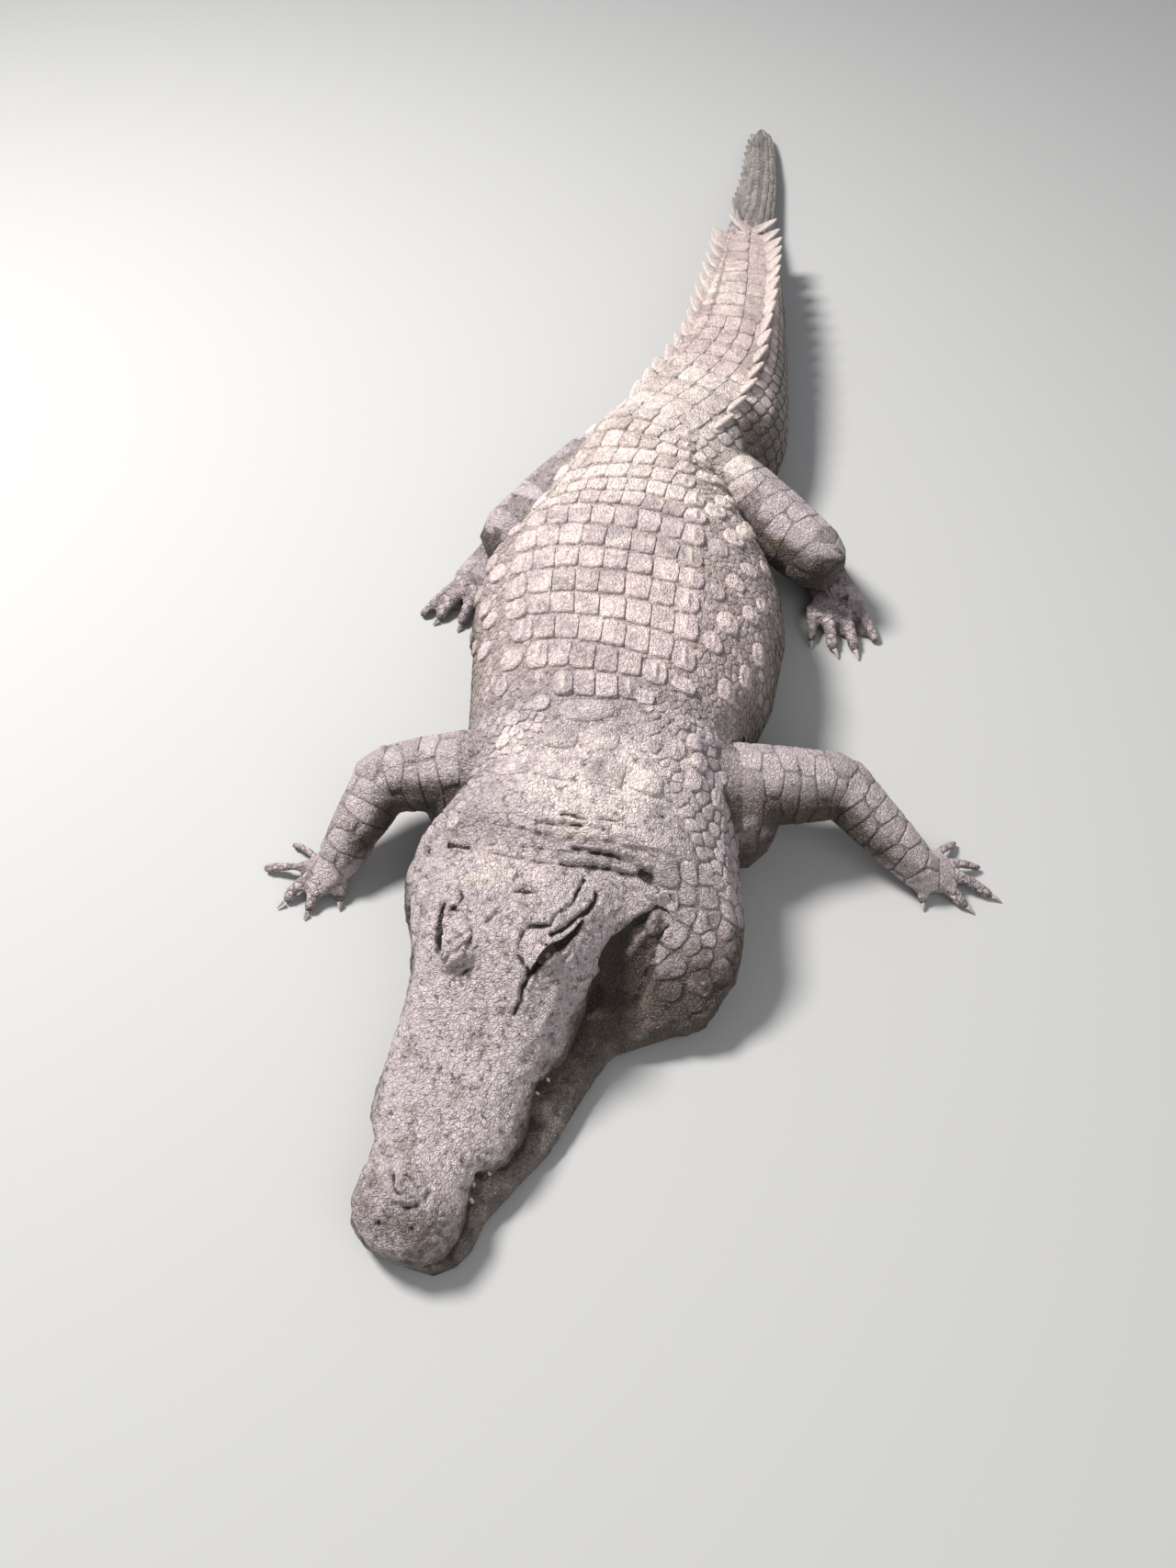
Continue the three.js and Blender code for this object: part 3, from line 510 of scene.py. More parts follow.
HEAD_FOLDS = [
    # left eye: the outer lid, the dome's own folds, and the furrow that runs forward from it
    Fold(1.8, 2.2, ((350, 66), (364, 79), (382, 84), (402, 90))),
    Fold(1.6, 2.0, ((404, 62), (392, 51), (380, 46), (364, 43), (352, 44)), 0.1),
    Fold(1.6, 1.6, ((376, 48), (374, 38), (378, 30))),
    Fold(3.5, 3.2, ((409, 55), (404, 36), (395, 23), (376, 21), (362, 27), (353, 36), (347, 48))),
    Fold(3.5, 3.0, ((347, 48), (338, 46), (332, 43), (320, 45), (305, 42))),
    # left ear: two long grooves that bound its flap
    Fold(5.0, 3.2, ((401, 61), (414, 71), (433, 80), (451, 90), (472, 97), (483, 95))),
    Fold(4.0, 2.8, ((401, 21), (406, 38), (413, 54), (425, 56), (439, 64), (454, 71), (478, 72), (496, 73))),
    # right eye and ear
    Fold(3.5, 2.8, ((402, -89), (390, -92), (376, -86), (356, -78), (342, -73))),
    Fold(4.0, 3.0, ((425, -74), (415, -68), (402, -69), (396, -76))),
    Fold(3.0, 3.0, ((396, -74), (394, -60), (388, -49), (380, -41), (369, -37), (352, -37))),
    Fold(2.4, 2.2, ((348, -62), (359, -54), (372, -45))),
    Fold(2.4, 2.2, ((334, -61), (342, -49), (355, -42), (368, -38))),
    Fold(2.4, 2.4, ((329, -53), (332, -46), (344, -38))),
    Fold(2.4, 2.6, ((326, -44), (332, -34), (339, -25))),
    # the skull's top
    Fold(3.0, 2.6, ((394, -26), (409, -20), (416, -6))),
    Fold(3.2, 2.4, ((444, -6), (449, 4), (451, 20), (457, 12), (457, 4), (450, -3), (444, -6))),
    Fold(1.8, 2.2, ((451, -27), (440, -24), (423, -23))),
    Fold(1.8, 2.2, ((483, -29), (477, -18), (476, -10))),
    # the snout
    Fold(3.0, 2.6, ((80, -33), (73, -28), (64, -25), (58, -18), (57, -10))),
    Fold(3.0, 2.4, ((84, -16), (80, -8), (74, 0), (70, 10))),
    Fold(2.6, 2.6, ((44, -14), (45, -2), (50, 9), (60, 18), (74, 20))),
    Fold(3.0, 3.0, ((124, 40), (118, 51), (112, 56)), 0.3),
    Fold(1.8, 4.0, ((290, 10), (274, 5), (258, 19), (236, 18))),
    Fold(1.8, 4.0, ((344, 43), (324, 46), (305, 43), (290, 40))),
    # the hinge of the jaw, the jaw's crease and the folds behind the skull
    Fold(8.0, 5.0, ((514, 177), (497, 167), (479, 149), (450, 131), (426, 126), (398, 124), (375, 121)),
         0.15),
    Fold(8.0, 5.5, ((516, 182), (486, 189), (449, 186), (420, 182), (396, 175), (370, 173), (340, 170)),
         0.15),
    Fold(6.0, 4.4, ((451, -152), (484, -156), (496, -150), (497, -123), (495, -96))),
    Fold(2.4, 3.0, ((495, -96), (492, -60), (493, -30), (497, 5), (504, 40))),
    Fold(5.0, 4.0, ((504, 40), (509, 58), (519, 99), (526, 144), (521, 169))),
    Fold(2.2, 2.4, ((512, -20), (517, 20), (522, 50), (531, 80))),
    Fold(2.2, 2.4, ((538, 60), (546, 100), (549, 140), (543, 165))),
    Fold(2.0, 2.2, ((528, -60), (531, -30), (530, 0))),
    Fold(4.0, 3.6, ((528, 49), (534, 103), (530, 166))),
    Fold(4.0, 3.6, ((493, -141), (529, -147), (549, -118))),
    # folds across the nape
    Fold(2.6, 3.4, ((545, -60), (541, -10), (549, 40), (556, 80), (572, 120))),
    Fold(3.0, 3.4, ((560, 20), (563, 60), (575, 95), (592, 128), (604, 150))),
    Fold(2.6, 3.0, ((579, 10), (583, 50), (596, 88), (612, 118))),
    Fold(2.4, 3.0, ((574, -140), (570, -90), (576, -50))),
]
# Pits of skull and snout: s, left, half width and depth.
PITS = [(448.0, 7.0, 6.0, 4.0), (397.0, -1.0, 9.0, 2.4), (302.0, 93.0, 9.0, 2.4), (21.0, -28.0, 3.2, 6.0),
        (28.0, 14.0, 3.2, 6.0)]
# The hollow between the upper jaw and the jowl, with half its width, and the pale bulge in it.
HOLLOW = ((516, 180, 1), (497, 177, 8), (479, 169, 18), (449, 158, 27), (420, 153, 28), (396, 149, 27),
          (370, 147, 26), (335, 144, 22))
BULGE = ((480, 170), (464, 160), (450, 151))
# How high the head is above the floor at distances back from the snout.
HEAD_TOPS = ((0, 0.078), (60, 0.107), (150, 0.100), (250, 0.120), (300, 0.141), (350, 0.178), (400, 0.197),
             (620, 0.205))
MOUTH_LINE = {
    Side.LEFT: ((0, 25, 27), (12, 46, 25), (36, 58, 26), (66, 63, 32), (94, 56, 44), (120, 50, 52),
                (146, 85, 42), (178, 95, 39), (212, 96, 44), (246, 87, 55), (274, 96, 56), (300, 111, 54),
                (330, 115, 58), (362, 115, 68), (400, 120, 84), (440, 126, 101), (462, 133, 109),
                (484, 148, 122), (504, 166, 128)),
    Side.RIGHT: ((0, -43, 27), (12, -64, 25), (36, -78, 26), (66, -83, 32), (94, -80, 44), (120, -76, 52),
                 (146, -101, 42), (178, -111, 39), (212, -112, 44), (246, -111, 55), (274, -112, 56),
                 (300, -119, 54), (330, -123, 58), (362, -127, 68), (400, -144, 84), (440, -158, 101),
                 (462, -163, 109)),
}
SLITS = {
    Side.LEFT: Slit(((345, 47, 0.6), (357, 57, 3.6), (370, 65.5, 5.4), (388, 71.5, 5.4), (402, 79, 4.0),
                     (420, 86, 2.6), (440, 90, 0.6)), 8.0),
    Side.RIGHT: Slit(((341, -72, 0.6), (350, -77, 2.6), (362, -82, 3.8), (376, -86, 3.8), (390, -90, 2.6),
                      (403, -90, 0.6)), 8.0),
}


@dataclass
class Skin:
    """The flesh of the whole animal as one closed surface, with the head's folds cut into it.

    Its parts are joined on a grid of cells as large as voxel. The pulls move each vertex towards its
    neighbours and then most of the way back, kept_share is what thinning leaves of the faces, and no
    edge below the shortest is cut finer.
    """

    tube: BodyTube
    head: HeadFrame
    markings: "Markings"
    finish: Material
    voxel: float = 0.0046
    lid_radius: float = 0.0185
    rounds: int = 56
    pulls: tuple[float, float] = (0.6, -0.56)
    kept_share: float = 0.19
    shortest: float = 0.0012

    def build(self) -> Object:
        """Makes the skin and puts it in the scene in place of the flesh's solids."""
        shell = self._joined()
        mesh = self._remeshed(shell)
        LOG.info("skin: %d faces after joining", len(mesh.polygons))
        self._smooth(mesh)
        mesh = self._thinned(mesh)
        self._refine(mesh)
        self._fold(mesh)
        mesh.polygons.foreach_set("use_smooth", np.ones(len(mesh.polygons), bool))
        mesh.materials.clear()
        mesh.materials.append(self.finish)
        return finished_object("skin", mesh, "head_hide", *FLESH_NODES)

    def _joined(self) -> BMesh:
        """The tube of the body together with head, neck, limbs and eyelids."""
        shell = self.tube.shell()
        parts = copied(HEAD_NODES + ["neck"] + LIMB_NODES)
        spare = bpy.data.meshes.new("parts")
        parts.to_mesh(spare)
        parts.free()
        shell.from_mesh(spare)
        bpy.data.meshes.remove(spare)
        for side in ("left", "right"):
            middle = box_middle(f"eye_{side}")
            ball = bmesh.ops.create_uvsphere(shell, u_segments=24, v_segments=16, radius=self.lid_radius)
            bmesh.ops.translate(shell, verts=ball["verts"], vec=middle)
        return shell

    def _remeshed(self, shell: BMesh) -> Mesh:
        """One surface round all that the shell holds."""
        rough = bpy.data.meshes.new("skin_rough")
        shell.to_mesh(rough)
        shell.free()
        holder = bpy.data.objects.new("skin_rough", rough)
        bpy.context.scene.collection.objects.link(holder)
        grid = holder.modifiers.new("remesh", "REMESH")
        grid.mode = "VOXEL"
        grid.voxel_size = self.voxel
        return evaluated(holder)

    def _digits(self) -> list[Array]:
        """The paths of all fingers and toes."""
        return [path for limb in LIMBS for path in limb.digit_paths()]

    def _softness(self, points: Array) -> Array:
        """How strongly each place is smoothed: hardly on the body, well on head and limbs."""
        s, _ = self.head.to_head(points)
        on_head = ramp(s, 600, 540)
        runs = [np.array([start, end]) for limb in LIMBS for start, end, _, _ in limb.runs()]
        limbs = ramp(nearest_path(points, runs), 0.15, 0.09)
        paws = ramp(nearest_path(points, self._digits()), 0.030, 0.016)
        soft = np.maximum(0.2 + 0.8 * limbs, on_head * 0.34)
        return soft * (1 - 0.82 * paws)

    def _smooth(self, mesh: Mesh) -> None:
        """Smooths facets away without shrinking what they stand on."""
        points = vertex_places(mesh)
        edges = np.empty(len(mesh.edges) * 2, np.int64)
        mesh.edges.foreach_get("vertices", edges)
        start, end = edges.reshape(-1, 2).T
        count = np.bincount(start, minlength=len(points)) + np.bincount(end, minlength=len(points))
        soft = self._softness(points)[:, None]
        for turn in range(self.rounds):
            pull = np.empty_like(points)
            for axis in range(3):
                column = points[:, axis]
                pull[:, axis] = (np.bincount(start, column[end], len(points))
                                 + np.bincount(end, column[start], len(points)))
            pull = pull / np.maximum(count, 1)[:, None] - points
            points += soft * pull * self.pulls[turn % 2]
        mesh.vertices.foreach_set("co", points.ravel())
        mesh.update()

    def _thinned(self, mesh: Mesh) -> Mesh:
        """The same surface with fewer faces where scales or the floor hide it."""
        points = vertex_places(mesh)
        s, _ = self.head.to_head(points)
        keep = np.maximum(ramp(s, 640, 560) * ramp(points[:, 2], 0.015, 0.03),
                          ramp(s, 720, 680) * ramp(points[:, 2], 0.17, 0.20))
        keep = np.maximum(keep, ramp(nearest_path(points, self._digits()), 0.04, 0.02) * 0.9)
        holder = bpy.data.objects.new("skin_thin", mesh)
        bpy.context.scene.collection.objects.link(holder)
        group = holder.vertex_groups.new(name="free")
        for share in range(0, 11):
            chosen = np.flatnonzero(np.round((1 - keep) * 10) == share)
            group.add(chosen.tolist(), share / 10, "REPLACE")
        thin = holder.modifiers.new("thin", "DECIMATE")
        thin.ratio = self.kept_share
        thin.vertex_group = "free"
        return evaluated(holder)

    def _refine(self, mesh: Mesh) -> None:
        """Cuts the faces of the head's top finer, and those round the eyes finer still."""
        shell = bmesh.new()
        shell.from_mesh(mesh)
        eyes = [box_middle(f"eye_{side}") for side in ("left", "right")]
        for reach in (None, 0.050, 0.030):
            middles = np.array([(edge.verts[0].co + edge.verts[1].co) / 2 for edge in shell.edges])
            if reach is None:
                s, _ = self.head.to_head(middles)
                chosen = (s < 560) & (middles[:, 2] > 0.060)
            else:
                gaps = [np.linalg.norm(middles - np.array(eye), axis=1) for eye in eyes]
                chosen = np.min(gaps, axis=0) < reach
            near = [edge for edge, pick in zip(shell.edges, chosen)
                    if pick and edge.calc_length() > self.shortest]
            bmesh.ops.subdivide_edges(shell, edges=near, cuts=1, use_grid_fill=True)
        bmesh.ops.triangulate(shell, faces=shell.faces)
        shell.to_mesh(mesh)
        shell.free()
        LOG.info("skin: %d faces after cutting finer", len(mesh.polygons))

    def _fold(self, mesh: Mesh) -> None:
        """Pushes creases, pits, the jaw's hollow, wrinkles and eye slits into the skin."""
        points = vertex_places(mesh)
        normals = np.empty(len(points) * 3)
        mesh.vertices.foreach_get("normal", normals)
        normals = normals.reshape(-1, 3)
        s, left = self.head.to_head(points)
        flat = np.stack([s, left], axis=1)
        upper = ramp(points[:, 2], 0.060, 0.085)
        push = np.zeros(len(points))
        near = np.flatnonzero(s < 660)
        push[near] = self._creases(points[near], flat[near], upper[near])
        bulge = 0.8 * ramp(path_distance(flat, np.array(BULGE, float)), 19.0, 0.0)
        hollow = within_path(flat, HOLLOW, 12.0) * upper
        push -= hollow * (8.0 - 7.0 * bulge - 1.4 * bulge * value_noise(points, 0.0085, 15))
        push += self._bumps(points, s) + self._wrinkles(points, s)
        for slit in SLITS.values():
            push = np.minimum(push, self._slit_push(flat, slit, push, points[:, 2]))
        set_attribute(mesh, "relief", self._relief(points, push))
        set_attribute(mesh, "marks", self.markings.at(points))
        points += normals * (push * MM)[:, None]
        points[:, 2] = np.maximum(points[:, 2], 0.0005)
        mesh.vertices.foreach_set("co", points.ravel())
        mesh.update()

    def _creases(self, points: Array, flat: Array, upper: Array) -> Array:
        """The push of folds, pits and the mouth's line on the head.

        Args:
            points: places near the head.
            flat: the same places in the head's measures, s and left.
            upper: how far each place belongs to the head's upper side, from 0 to 1.

        Returns:
            The push outward in millimetres.
        """
        winding = flat + 2.6 * np.stack([fractal_noise(points, 0.016, seed) for seed in (83, 87)], axis=1)
        depths = 1 + 0.55 * value_noise(points, 0.014, 89)
        push = np.zeros(len(points))
        for crease in HEAD_FOLDS:
            gap = path_distance(winding, np.array(crease.path, float)) / crease.width
            lips = 0.6 * crease.lip * np.exp(-(gap - 2.1) ** 2)
            push += crease.depth * (lips - depths * np.exp(-gap ** 2)) * upper
        for pit_s, pit_left, width, depth in PITS:
            gap = np.hypot(flat[:, 0] - pit_s, flat[:, 1] - pit_left)
            push -= depth * np.exp(-(gap / width) ** 2)
        deep = ramp(flat[:, 0], 320, 400)
        for line in MOUTH_LINE.values():
            gap = path_distance(points, self.head.to_world(*np.array(line, float).T)) / MM
            push -= (5.0 + 3.0 * deep) * np.exp(-(gap / (3.6 + 2.4 * deep)) ** 2)
        return push

    def _bumps(self, points: Array, s: Array) -> Array:
        """The push of the head's uneven skin, which is coarser on the lower jaw."""
        on_head = ramp(s, 620, 520)
        even = 1.4 * fractal_noise(points, 0.034, 5) + 1.3 * value_noise(points, 0.012, 9)
        even += 1.0 * value_noise(points, 0.0062, 13)
        return on_head * (even + ramp(points[:, 2], 0.075, 0.045) * 2.6 * value_noise(points, 0.021, 17))

    def _wrinkles(self, points: Array, s: Array) -> Array:
        """The push of the wrinkles that run across the nape."""
        nape = ramp(s, 500, 545) * ramp(s, 720, 660) * ramp(points[:, 2], 0.17, 0.21)
        bent = points * np.array([0.28, 1.0, 0.5])
        bent[:, 1] += 0.012 * value_noise(points, 0.07, 19)
        push = 1.5 * (1 - 2 * np.abs(value_noise(bent, 0.0095, 23)))
        push += 1.3 * (1 - 2 * np.abs(value_noise(bent, 0.019, 29)))
        return nape * (push + 2.2 * value_noise(points * np.array([0.6, 1.0, 1.0]), 0.036, 33))

    def _relief(self, points: Array, push: Array) -> Array:
        """The finish's numbers for the bare skin: how deep each place lies in a seam, which the finish paints
        as shade, and no scale.
        """
        x, y, z = points.T
        nape = ramp(y, -0.64, -0.57) * ramp(y, -0.33, -0.40) * ramp(z, 0.20, 0.23)
        jowl = ramp(y, -0.735, -0.705) * np.maximum(ramp(x, 0.116, 0.128), ramp(x, -0.190, -0.202))
        covered = np.maximum(ramp(y, -0.60, -0.52), 1.2 * jowl) * (1 - nape)
        creased = ramp(y, -0.62, -0.56) * ramp(y, -0.44, -0.50)
        # Painted shade: deeper creases, and the skin under the scales, are painted darker by the finish.
        seam = np.maximum.reduce([ramp(-push, 0.7, 4.2), creased * ramp(-push, 0.4, 2.8), 0.5 * covered])
        return np.stack([0 * seam, 0 * seam + 0.5, seam, 0 * seam], axis=1)

    def _slit_push(self, flat: Array, slit: Slit, push: Array, height: Array) -> Array:
        """The push that sinks the skin inside an eye's opening and leaves the rest as it is."""
        inside = within_path(flat, slit.path, 1.6, 0.7) * (height > 0.12)
        return push * (1 - inside) - slit.drop * inside


def within_path(flat: Array, path: tuple[tuple[float, float, float], ...], soft: float,
                beyond: float = 0.0) -> Array:
    """How far inside a strip of changing width each place of the head lies, from 0 to 1.

    Args:
        flat: the places in the head's measures, s and left.
        path: places down the strip's middle with half its width at each.
        soft: how wide the strip's soft edge is.
        beyond: how far the soft edge reaches out of the strip.

    Returns:
        One value for each place.
    """
    nodes = np.array(path, float)
    order = np.argsort(nodes[:, 0])
    widths = np.interp(flat[:, 0], nodes[order, 0], nodes[order, 2], left=0, right=0)
    across = path_distance(flat, nodes[:, :2])
    return ramp(across, widths + beyond, widths + beyond - soft) * (widths > 0)


def box_middle(name: str) -> Vector:
    """The middle of a CAD node's box."""
    corners = [Vector(corner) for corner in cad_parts[name].bound_box]
    return sum(corners, Vector()) / len(corners)


def vertex_places(mesh: Mesh) -> Array:
    """All vertices of a mesh, one in each row."""
    places = np.empty(len(mesh.vertices) * 3)
    mesh.vertices.foreach_get("co", places)
    return places.reshape(-1, 3)


def evaluated(holder: Object) -> Mesh:
    """The mesh that an object's modifiers make of it; the object itself is taken away."""
    graph = bpy.context.evaluated_depsgraph_get()
    mesh = bpy.data.meshes.new_from_object(holder.evaluated_get(graph))
    bpy.data.objects.remove(holder)
    return mesh


# ---------- scales


@dataclass
class LimbChart(Chart):
    """The chart of a limb or a digit: b runs from its root to its end, and a round it from the top.

    The corner and the span are its place and size on the bake map. The axis runs a little past both
    ends, and its bends are rounded over the length in bending.
    """

    joints: Array
    radii: Array
    corner: tuple[float, float]
    span: tuple[float, float]
    past: float = 0.02
    bending: float = 0.012

    def __post_init__(self) -> None:
        """Lays the axis out by its length and rounds its bends."""
        lengths = np.append(0, np.cumsum(np.linalg.norm(np.diff(self.joints, axis=0), axis=1)))
        self.length = float(lengths[-1])
        self.steps = np.linspace(-self.past, self.length + self.past, 121)
        sigma = self.bending / (self.steps[1] - self.steps[0])
        axis = np.stack([np.interp(self.steps, lengths, column) for column in self.joints.T], axis=1)
        first, last = unit(self.joints[1] - self.joints[0]), unit(self.joints[-1] - self.joints[-2])
        axis += np.minimum(self.steps, 0)[:, None] * first
        axis += np.maximum(self.steps - self.length, 0)[:, None] * last
        self.axis = softened(axis, sigma)
        self.thick = softened(np.interp(self.steps, lengths, self.radii), sigma)
        tangent = unit(np.gradient(self.axis, axis=0))
        self.up = unit(np.array([0, 0, 1.0]) - tangent * tangent[:, 2:3])
        self.side = np.cross(tangent, self.up)

    def _at(self, table: Array, b: Array) -> Array:
        """A table's value at distances along the axis."""
        if table.ndim == 1:
            return np.interp(b, self.steps, table)
        return np.stack([np.interp(b, self.steps, column) for column in table.T], axis=-1)

    def outward(self, b: Array, a: Array) -> Array:
        """The directions away from the limb's axis."""
        turn = (a / self._at(self.thick, b))[..., None]
        return unit(self._at(self.up, b) * np.cos(turn) + self._at(self.side, b) * np.sin(turn))

    def place(self, b: Array, a: Array) -> Array:
        """Places at the limb's own radius."""
        return self._at(self.axis, b) + self.outward(b, a) * self._at(self.thick, b)[..., None]

    def unwrap(self, b: Array, a: Array) -> Array:
        """The limb cut open along its underside, in its own part of the square."""
        turn = a / self._at(self.thick, b) / (2 * math.pi)
        return np.stack([self.corner[0] + (0.5 + turn) * self.span[0],
                         self.corner[1] + (b + self.past) / (self.length + 2 * self.past) * self.span[1]],
                        axis=-1)


@dataclass
class Seeds:
    """The scales of a field before they have a shape; every array holds one value for each scale."""

    b: Array
    a: Array
    half_b: Array
    half_a: Array
    height: Array
    keel: Array
    square: Array

    @classmethod
    def of(cls, rows: list[tuple], square: float = 3.0) -> "Seeds":
        """Seeds from a list with one row of numbers for each scale, the last of which may be left out."""
        full = [row if len(row) == 7 else (*row, square) for row in rows]
        return cls(*np.array(full, float).reshape(-1, 7).T)

    def chosen(self, keep: Array) -> "Seeds":
        """The seeds for which keep is true."""
        return Seeds(*(getattr(self, entry.name)[keep] for entry in fields(self)))


# The half width past which a scale keeps pebbles farther off.
LARGE = 0.0125


def scattered(fixed: Seeds, region: tuple[float, float, float, float], size: AtPlace, inside: AtPlace,
              height: float, seed: int, tries: int = 9000) -> Seeds:
    """Scatters pebbles over a part of a chart between the scales that stand there already.

    Args:
        fixed: scales that keep their places.
        region: the least and the largest b, then the least and the largest a.
        size: gives the half width of a pebble at (b, a).
        inside: tells whether pebbles stand at (b, a).
        height: how far a pebble of average size stands out.
        seed: the number the places are drawn with.
        tries: how many places are tried.

    Returns:
        The pebbles alone.
    """
    draw = np.random.default_rng(seed)
    b = draw.uniform(region[0], region[1], tries)
    a = draw.uniform(region[2], region[3], tries)
    half = size(b, a) * draw.uniform(0.8, 1.22, tries)
    good = inside(b, a)
    first = count = len(fixed.b)
    spots = np.zeros((first + tries, 3))
    spots[:first] = np.stack([fixed.b, fixed.a, (fixed.half_b + fixed.half_a) / 2], axis=1)
    for spot_b, spot_a, spot_half, fits in zip(b, a, half, good):
        if not fits:
            continue
        near = spots[:count]
        gap = np.hypot(near[:, 0] - spot_b, near[:, 1] - spot_a)
        room = 0.86 * (near[:, 2] + spot_half) + 0.16 * (near[:, 2] > LARGE) * near[:, 2]
        if np.all(gap > room):
            spots[count] = spot_b, spot_a, spot_half
            count += 1
    fresh = spots[first:count]
    halves = fresh[:, 2] * 1.5
    heights = height * (fresh[:, 2] / max(fresh[:, 2].mean(), 1e-6)) ** 0.7
    return Seeds(fresh[:, 0], fresh[:, 1], halves, halves, heights, 0 * halves, 0 * halves + 2.6)


# The height of a full keel, and the half width of a scale's patch on the bake map.
KEEL = 0.004
PATCH = 0.0015
Rings = tuple[tuple[float, float], ...]


@dataclass
class ScaleField:
    """Scales that share a chart: their outlines are found among their neighbours, then raised.

    The gap is the width of the seam between neighbours. Rough is the height of the bumps as a share
    of the scale's own height, and root how far its rim goes into the skin. A scale stands only where
    the skin lies less than deepest below and highest above its chart, and even is how far the skin
    under it may differ from its middle. Each ring is a share of the outline and of the height, from
    the root inward. Weigh lets large scales take room from small ones. The step is how much higher
    the front edge stands than the middle, stretch below one makes neighbours round the body reach
    past each other, pale tells how light the scales are, and joined how steep the sides are between
    neighbours of one row.
    """

    chart: Chart
    seeds: Seeds
    corners: int = 12
    gap: float = 0.0016
    rough: float = 0.10
    root: float = 0.0016
    seed: int = 1
    lowest: float = 0.0006
    deepest: float = 0.022
    highest: float = 0.020
    even: float = 0.011
    rings: Rings = ((1.0, 0.0), (0.95, 0.62), (0.84, 0.94), (0.5, 1.0))
    weigh: bool = True
    step: float = 0.0
    stretch: float = 1.0
    pale: float = 0.5
    joined: float = 0.0

    def _outlines(self) -> Array:
        """The reach of each scale in each direction, bounded by its neighbours and its own oval."""
        seeds = self.seeds
        cosines, sines = np.cos(self._turns()), np.sin(self._turns())
        reach = np.empty((len(seeds.b), self.corners))
        size = (seeds.half_b + seeds.half_a) / 2
        for index in range(len(seeds.b)):
            square = seeds.square[index]
            oval = (np.abs(sines) / seeds.half_b[index]) ** square
            oval += (np.abs(cosines) / seeds.half_a[index]) ** square
            limit = oval ** (-1 / square)
            db, da = seeds.b - seeds.b[index], (seeds.a - seeds.a[index]) * self.stretch
            gap = np.hypot(db, da)
            near = (gap > 1e-6) & (gap < 2.4 * (size[index] + size))
            toward = da[near, None] * cosines * self.stretch + db[near, None] * sines
            weight = (size[index] ** 2 - size[near] ** 2) * 0.5 if self.weigh else 0 * gap[near]
            middle = (gap[near] ** 2 + weight) / 2 - self.gap / 2 * gap[near]
            middle = np.maximum(middle, 0.08 * gap[near] ** 2)
            edge = np.where(toward > 1e-5, middle[:, None] / np.maximum(toward, 1e-5), 1e9)
            reach[index] = np.minimum(limit, edge.min(axis=0) if near.any() else limit)
        return reach

    def _grid(self) -> tuple[Array, Array, Array, Array]:
        """The vertices of every scale, ring by ring from the root to the middle.

        Returns:
            Their distances from the scale's middle along b and along a, and the share of the scale's
            height at each, all with one scale in each row; and the share of the outline at each
            vertex, which is the same for all scales.
        """
        turns = self._turns()
        shares, rises = np.array(self.rings).T
        reach = self._outlines()[:, None] * shares[:, None]
        count = len(reach)
        beside = ramp(np.abs(np.cos(turns)), 0.72, 0.90)
        steep = rises[:, None] + (rises > 0)[:, None] * (1 - rises)[:, None] * self.joined * beside
        rise = np.tile(np.append(steep.ravel(), 1), (count, 1))
        middle = np.zeros((count, 1))
        db = np.append((reach * np.sin(turns)).reshape(count, -1), middle, axis=1)
        da = np.append((reach * np.cos(turns)).reshape(count, -1), middle, axis=1)
        return db, da, rise, np.append(np.repeat(shares, self.corners), 0)

    def _grounded(self, coat: "Coat", b: Array, a: Array) -> tuple[Array, Array, Array]:
        """Finds the skin under every vertex.

        Args:
            coat: the coat piece, which knows the skin.
            b: how far along the chart the vertices lie, with one scale in each row.
            a: how far round it.

        Returns:
            The places on the skin, the outward directions there, and whether each scale is sound.
        """
        places = self.chart.place(b.ravel(), a.ravel())
        outs = self.chart.outward(b.ravel(), a.ravel())
        lift = coat.lift(places, outs).reshape(b.shape)
        lost = np.isnan(lift)
        middle = np.nanmedian(np.where(lost.all(axis=1)[:, None], 0, lift), axis=1)[:, None]
        stray = np.abs(np.where(lost, middle, lift) - middle) > self.even
        sound = (lost | stray).mean(axis=1) < 0.12
        lift = np.where(lost | stray, middle, lift)
        return places + outs * lift.reshape(-1, 1), outs, sound

    def _turns(self) -> Array:
        """The directions of a scale's corners."""
        return np.arange(self.corners) * 2 * math.pi / self.corners

    def add_to(self, coat: "Coat") -> None:
        """Shapes the scales and adds them to a coat."""
        start = self.chart.place(self.seeds.b, self.seeds.a)
        lift = coat.lift(start, self.chart.outward(self.seeds.b, self.seeds.a))
        self.seeds = seeds = self.seeds.chosen((lift > -self.deepest) & (lift < self.highest))
        if len(seeds.b) == 0:
            return
        draw = np.random.default_rng(self.seed)
        lot = 0.5 * draw.uniform(0, 1, len(seeds.b)) + 0.5 * self.pale
        tilt = draw.normal(0, 0.10, (len(seeds.b), 2))
        db, da, rise, share = self._grid()
        ground, outs, sound = self._grounded(coat, seeds.b[:, None] + db, seeds.a[:, None] + da)
        height, half_b, half_a = seeds.height[:, None], seeds.half_b[:, None], seeds.half_a[:, None]
        lean = 1 + (tilt[:, :1] - self.step) * db / half_b + tilt[:, 1:] * da / half_a
        keel = seeds.keel[:, None] * np.exp(-(da / (0.22 * half_a)) ** 2)
        keel *= np.clip(1 - (db / half_b) ** 2, 0, 1) * rise
        bumps = value_noise(ground, 0.0075, self.seed + 3) + 0.6 * value_noise(ground, 0.0038, self.seed + 5)
        body = height * rise * (lean + self.rough * bumps.reshape(db.shape)) + keel
        body = np.where(rise > 0, body, -self.root)
        points = ground + outs * body.reshape(-1, 1)
        points[:, 2] = np.maximum(points[:, 2], self.lowest)
        count, each = db.shape
        rim = np.tile(ramp(share, 0.80, 0.97), count)
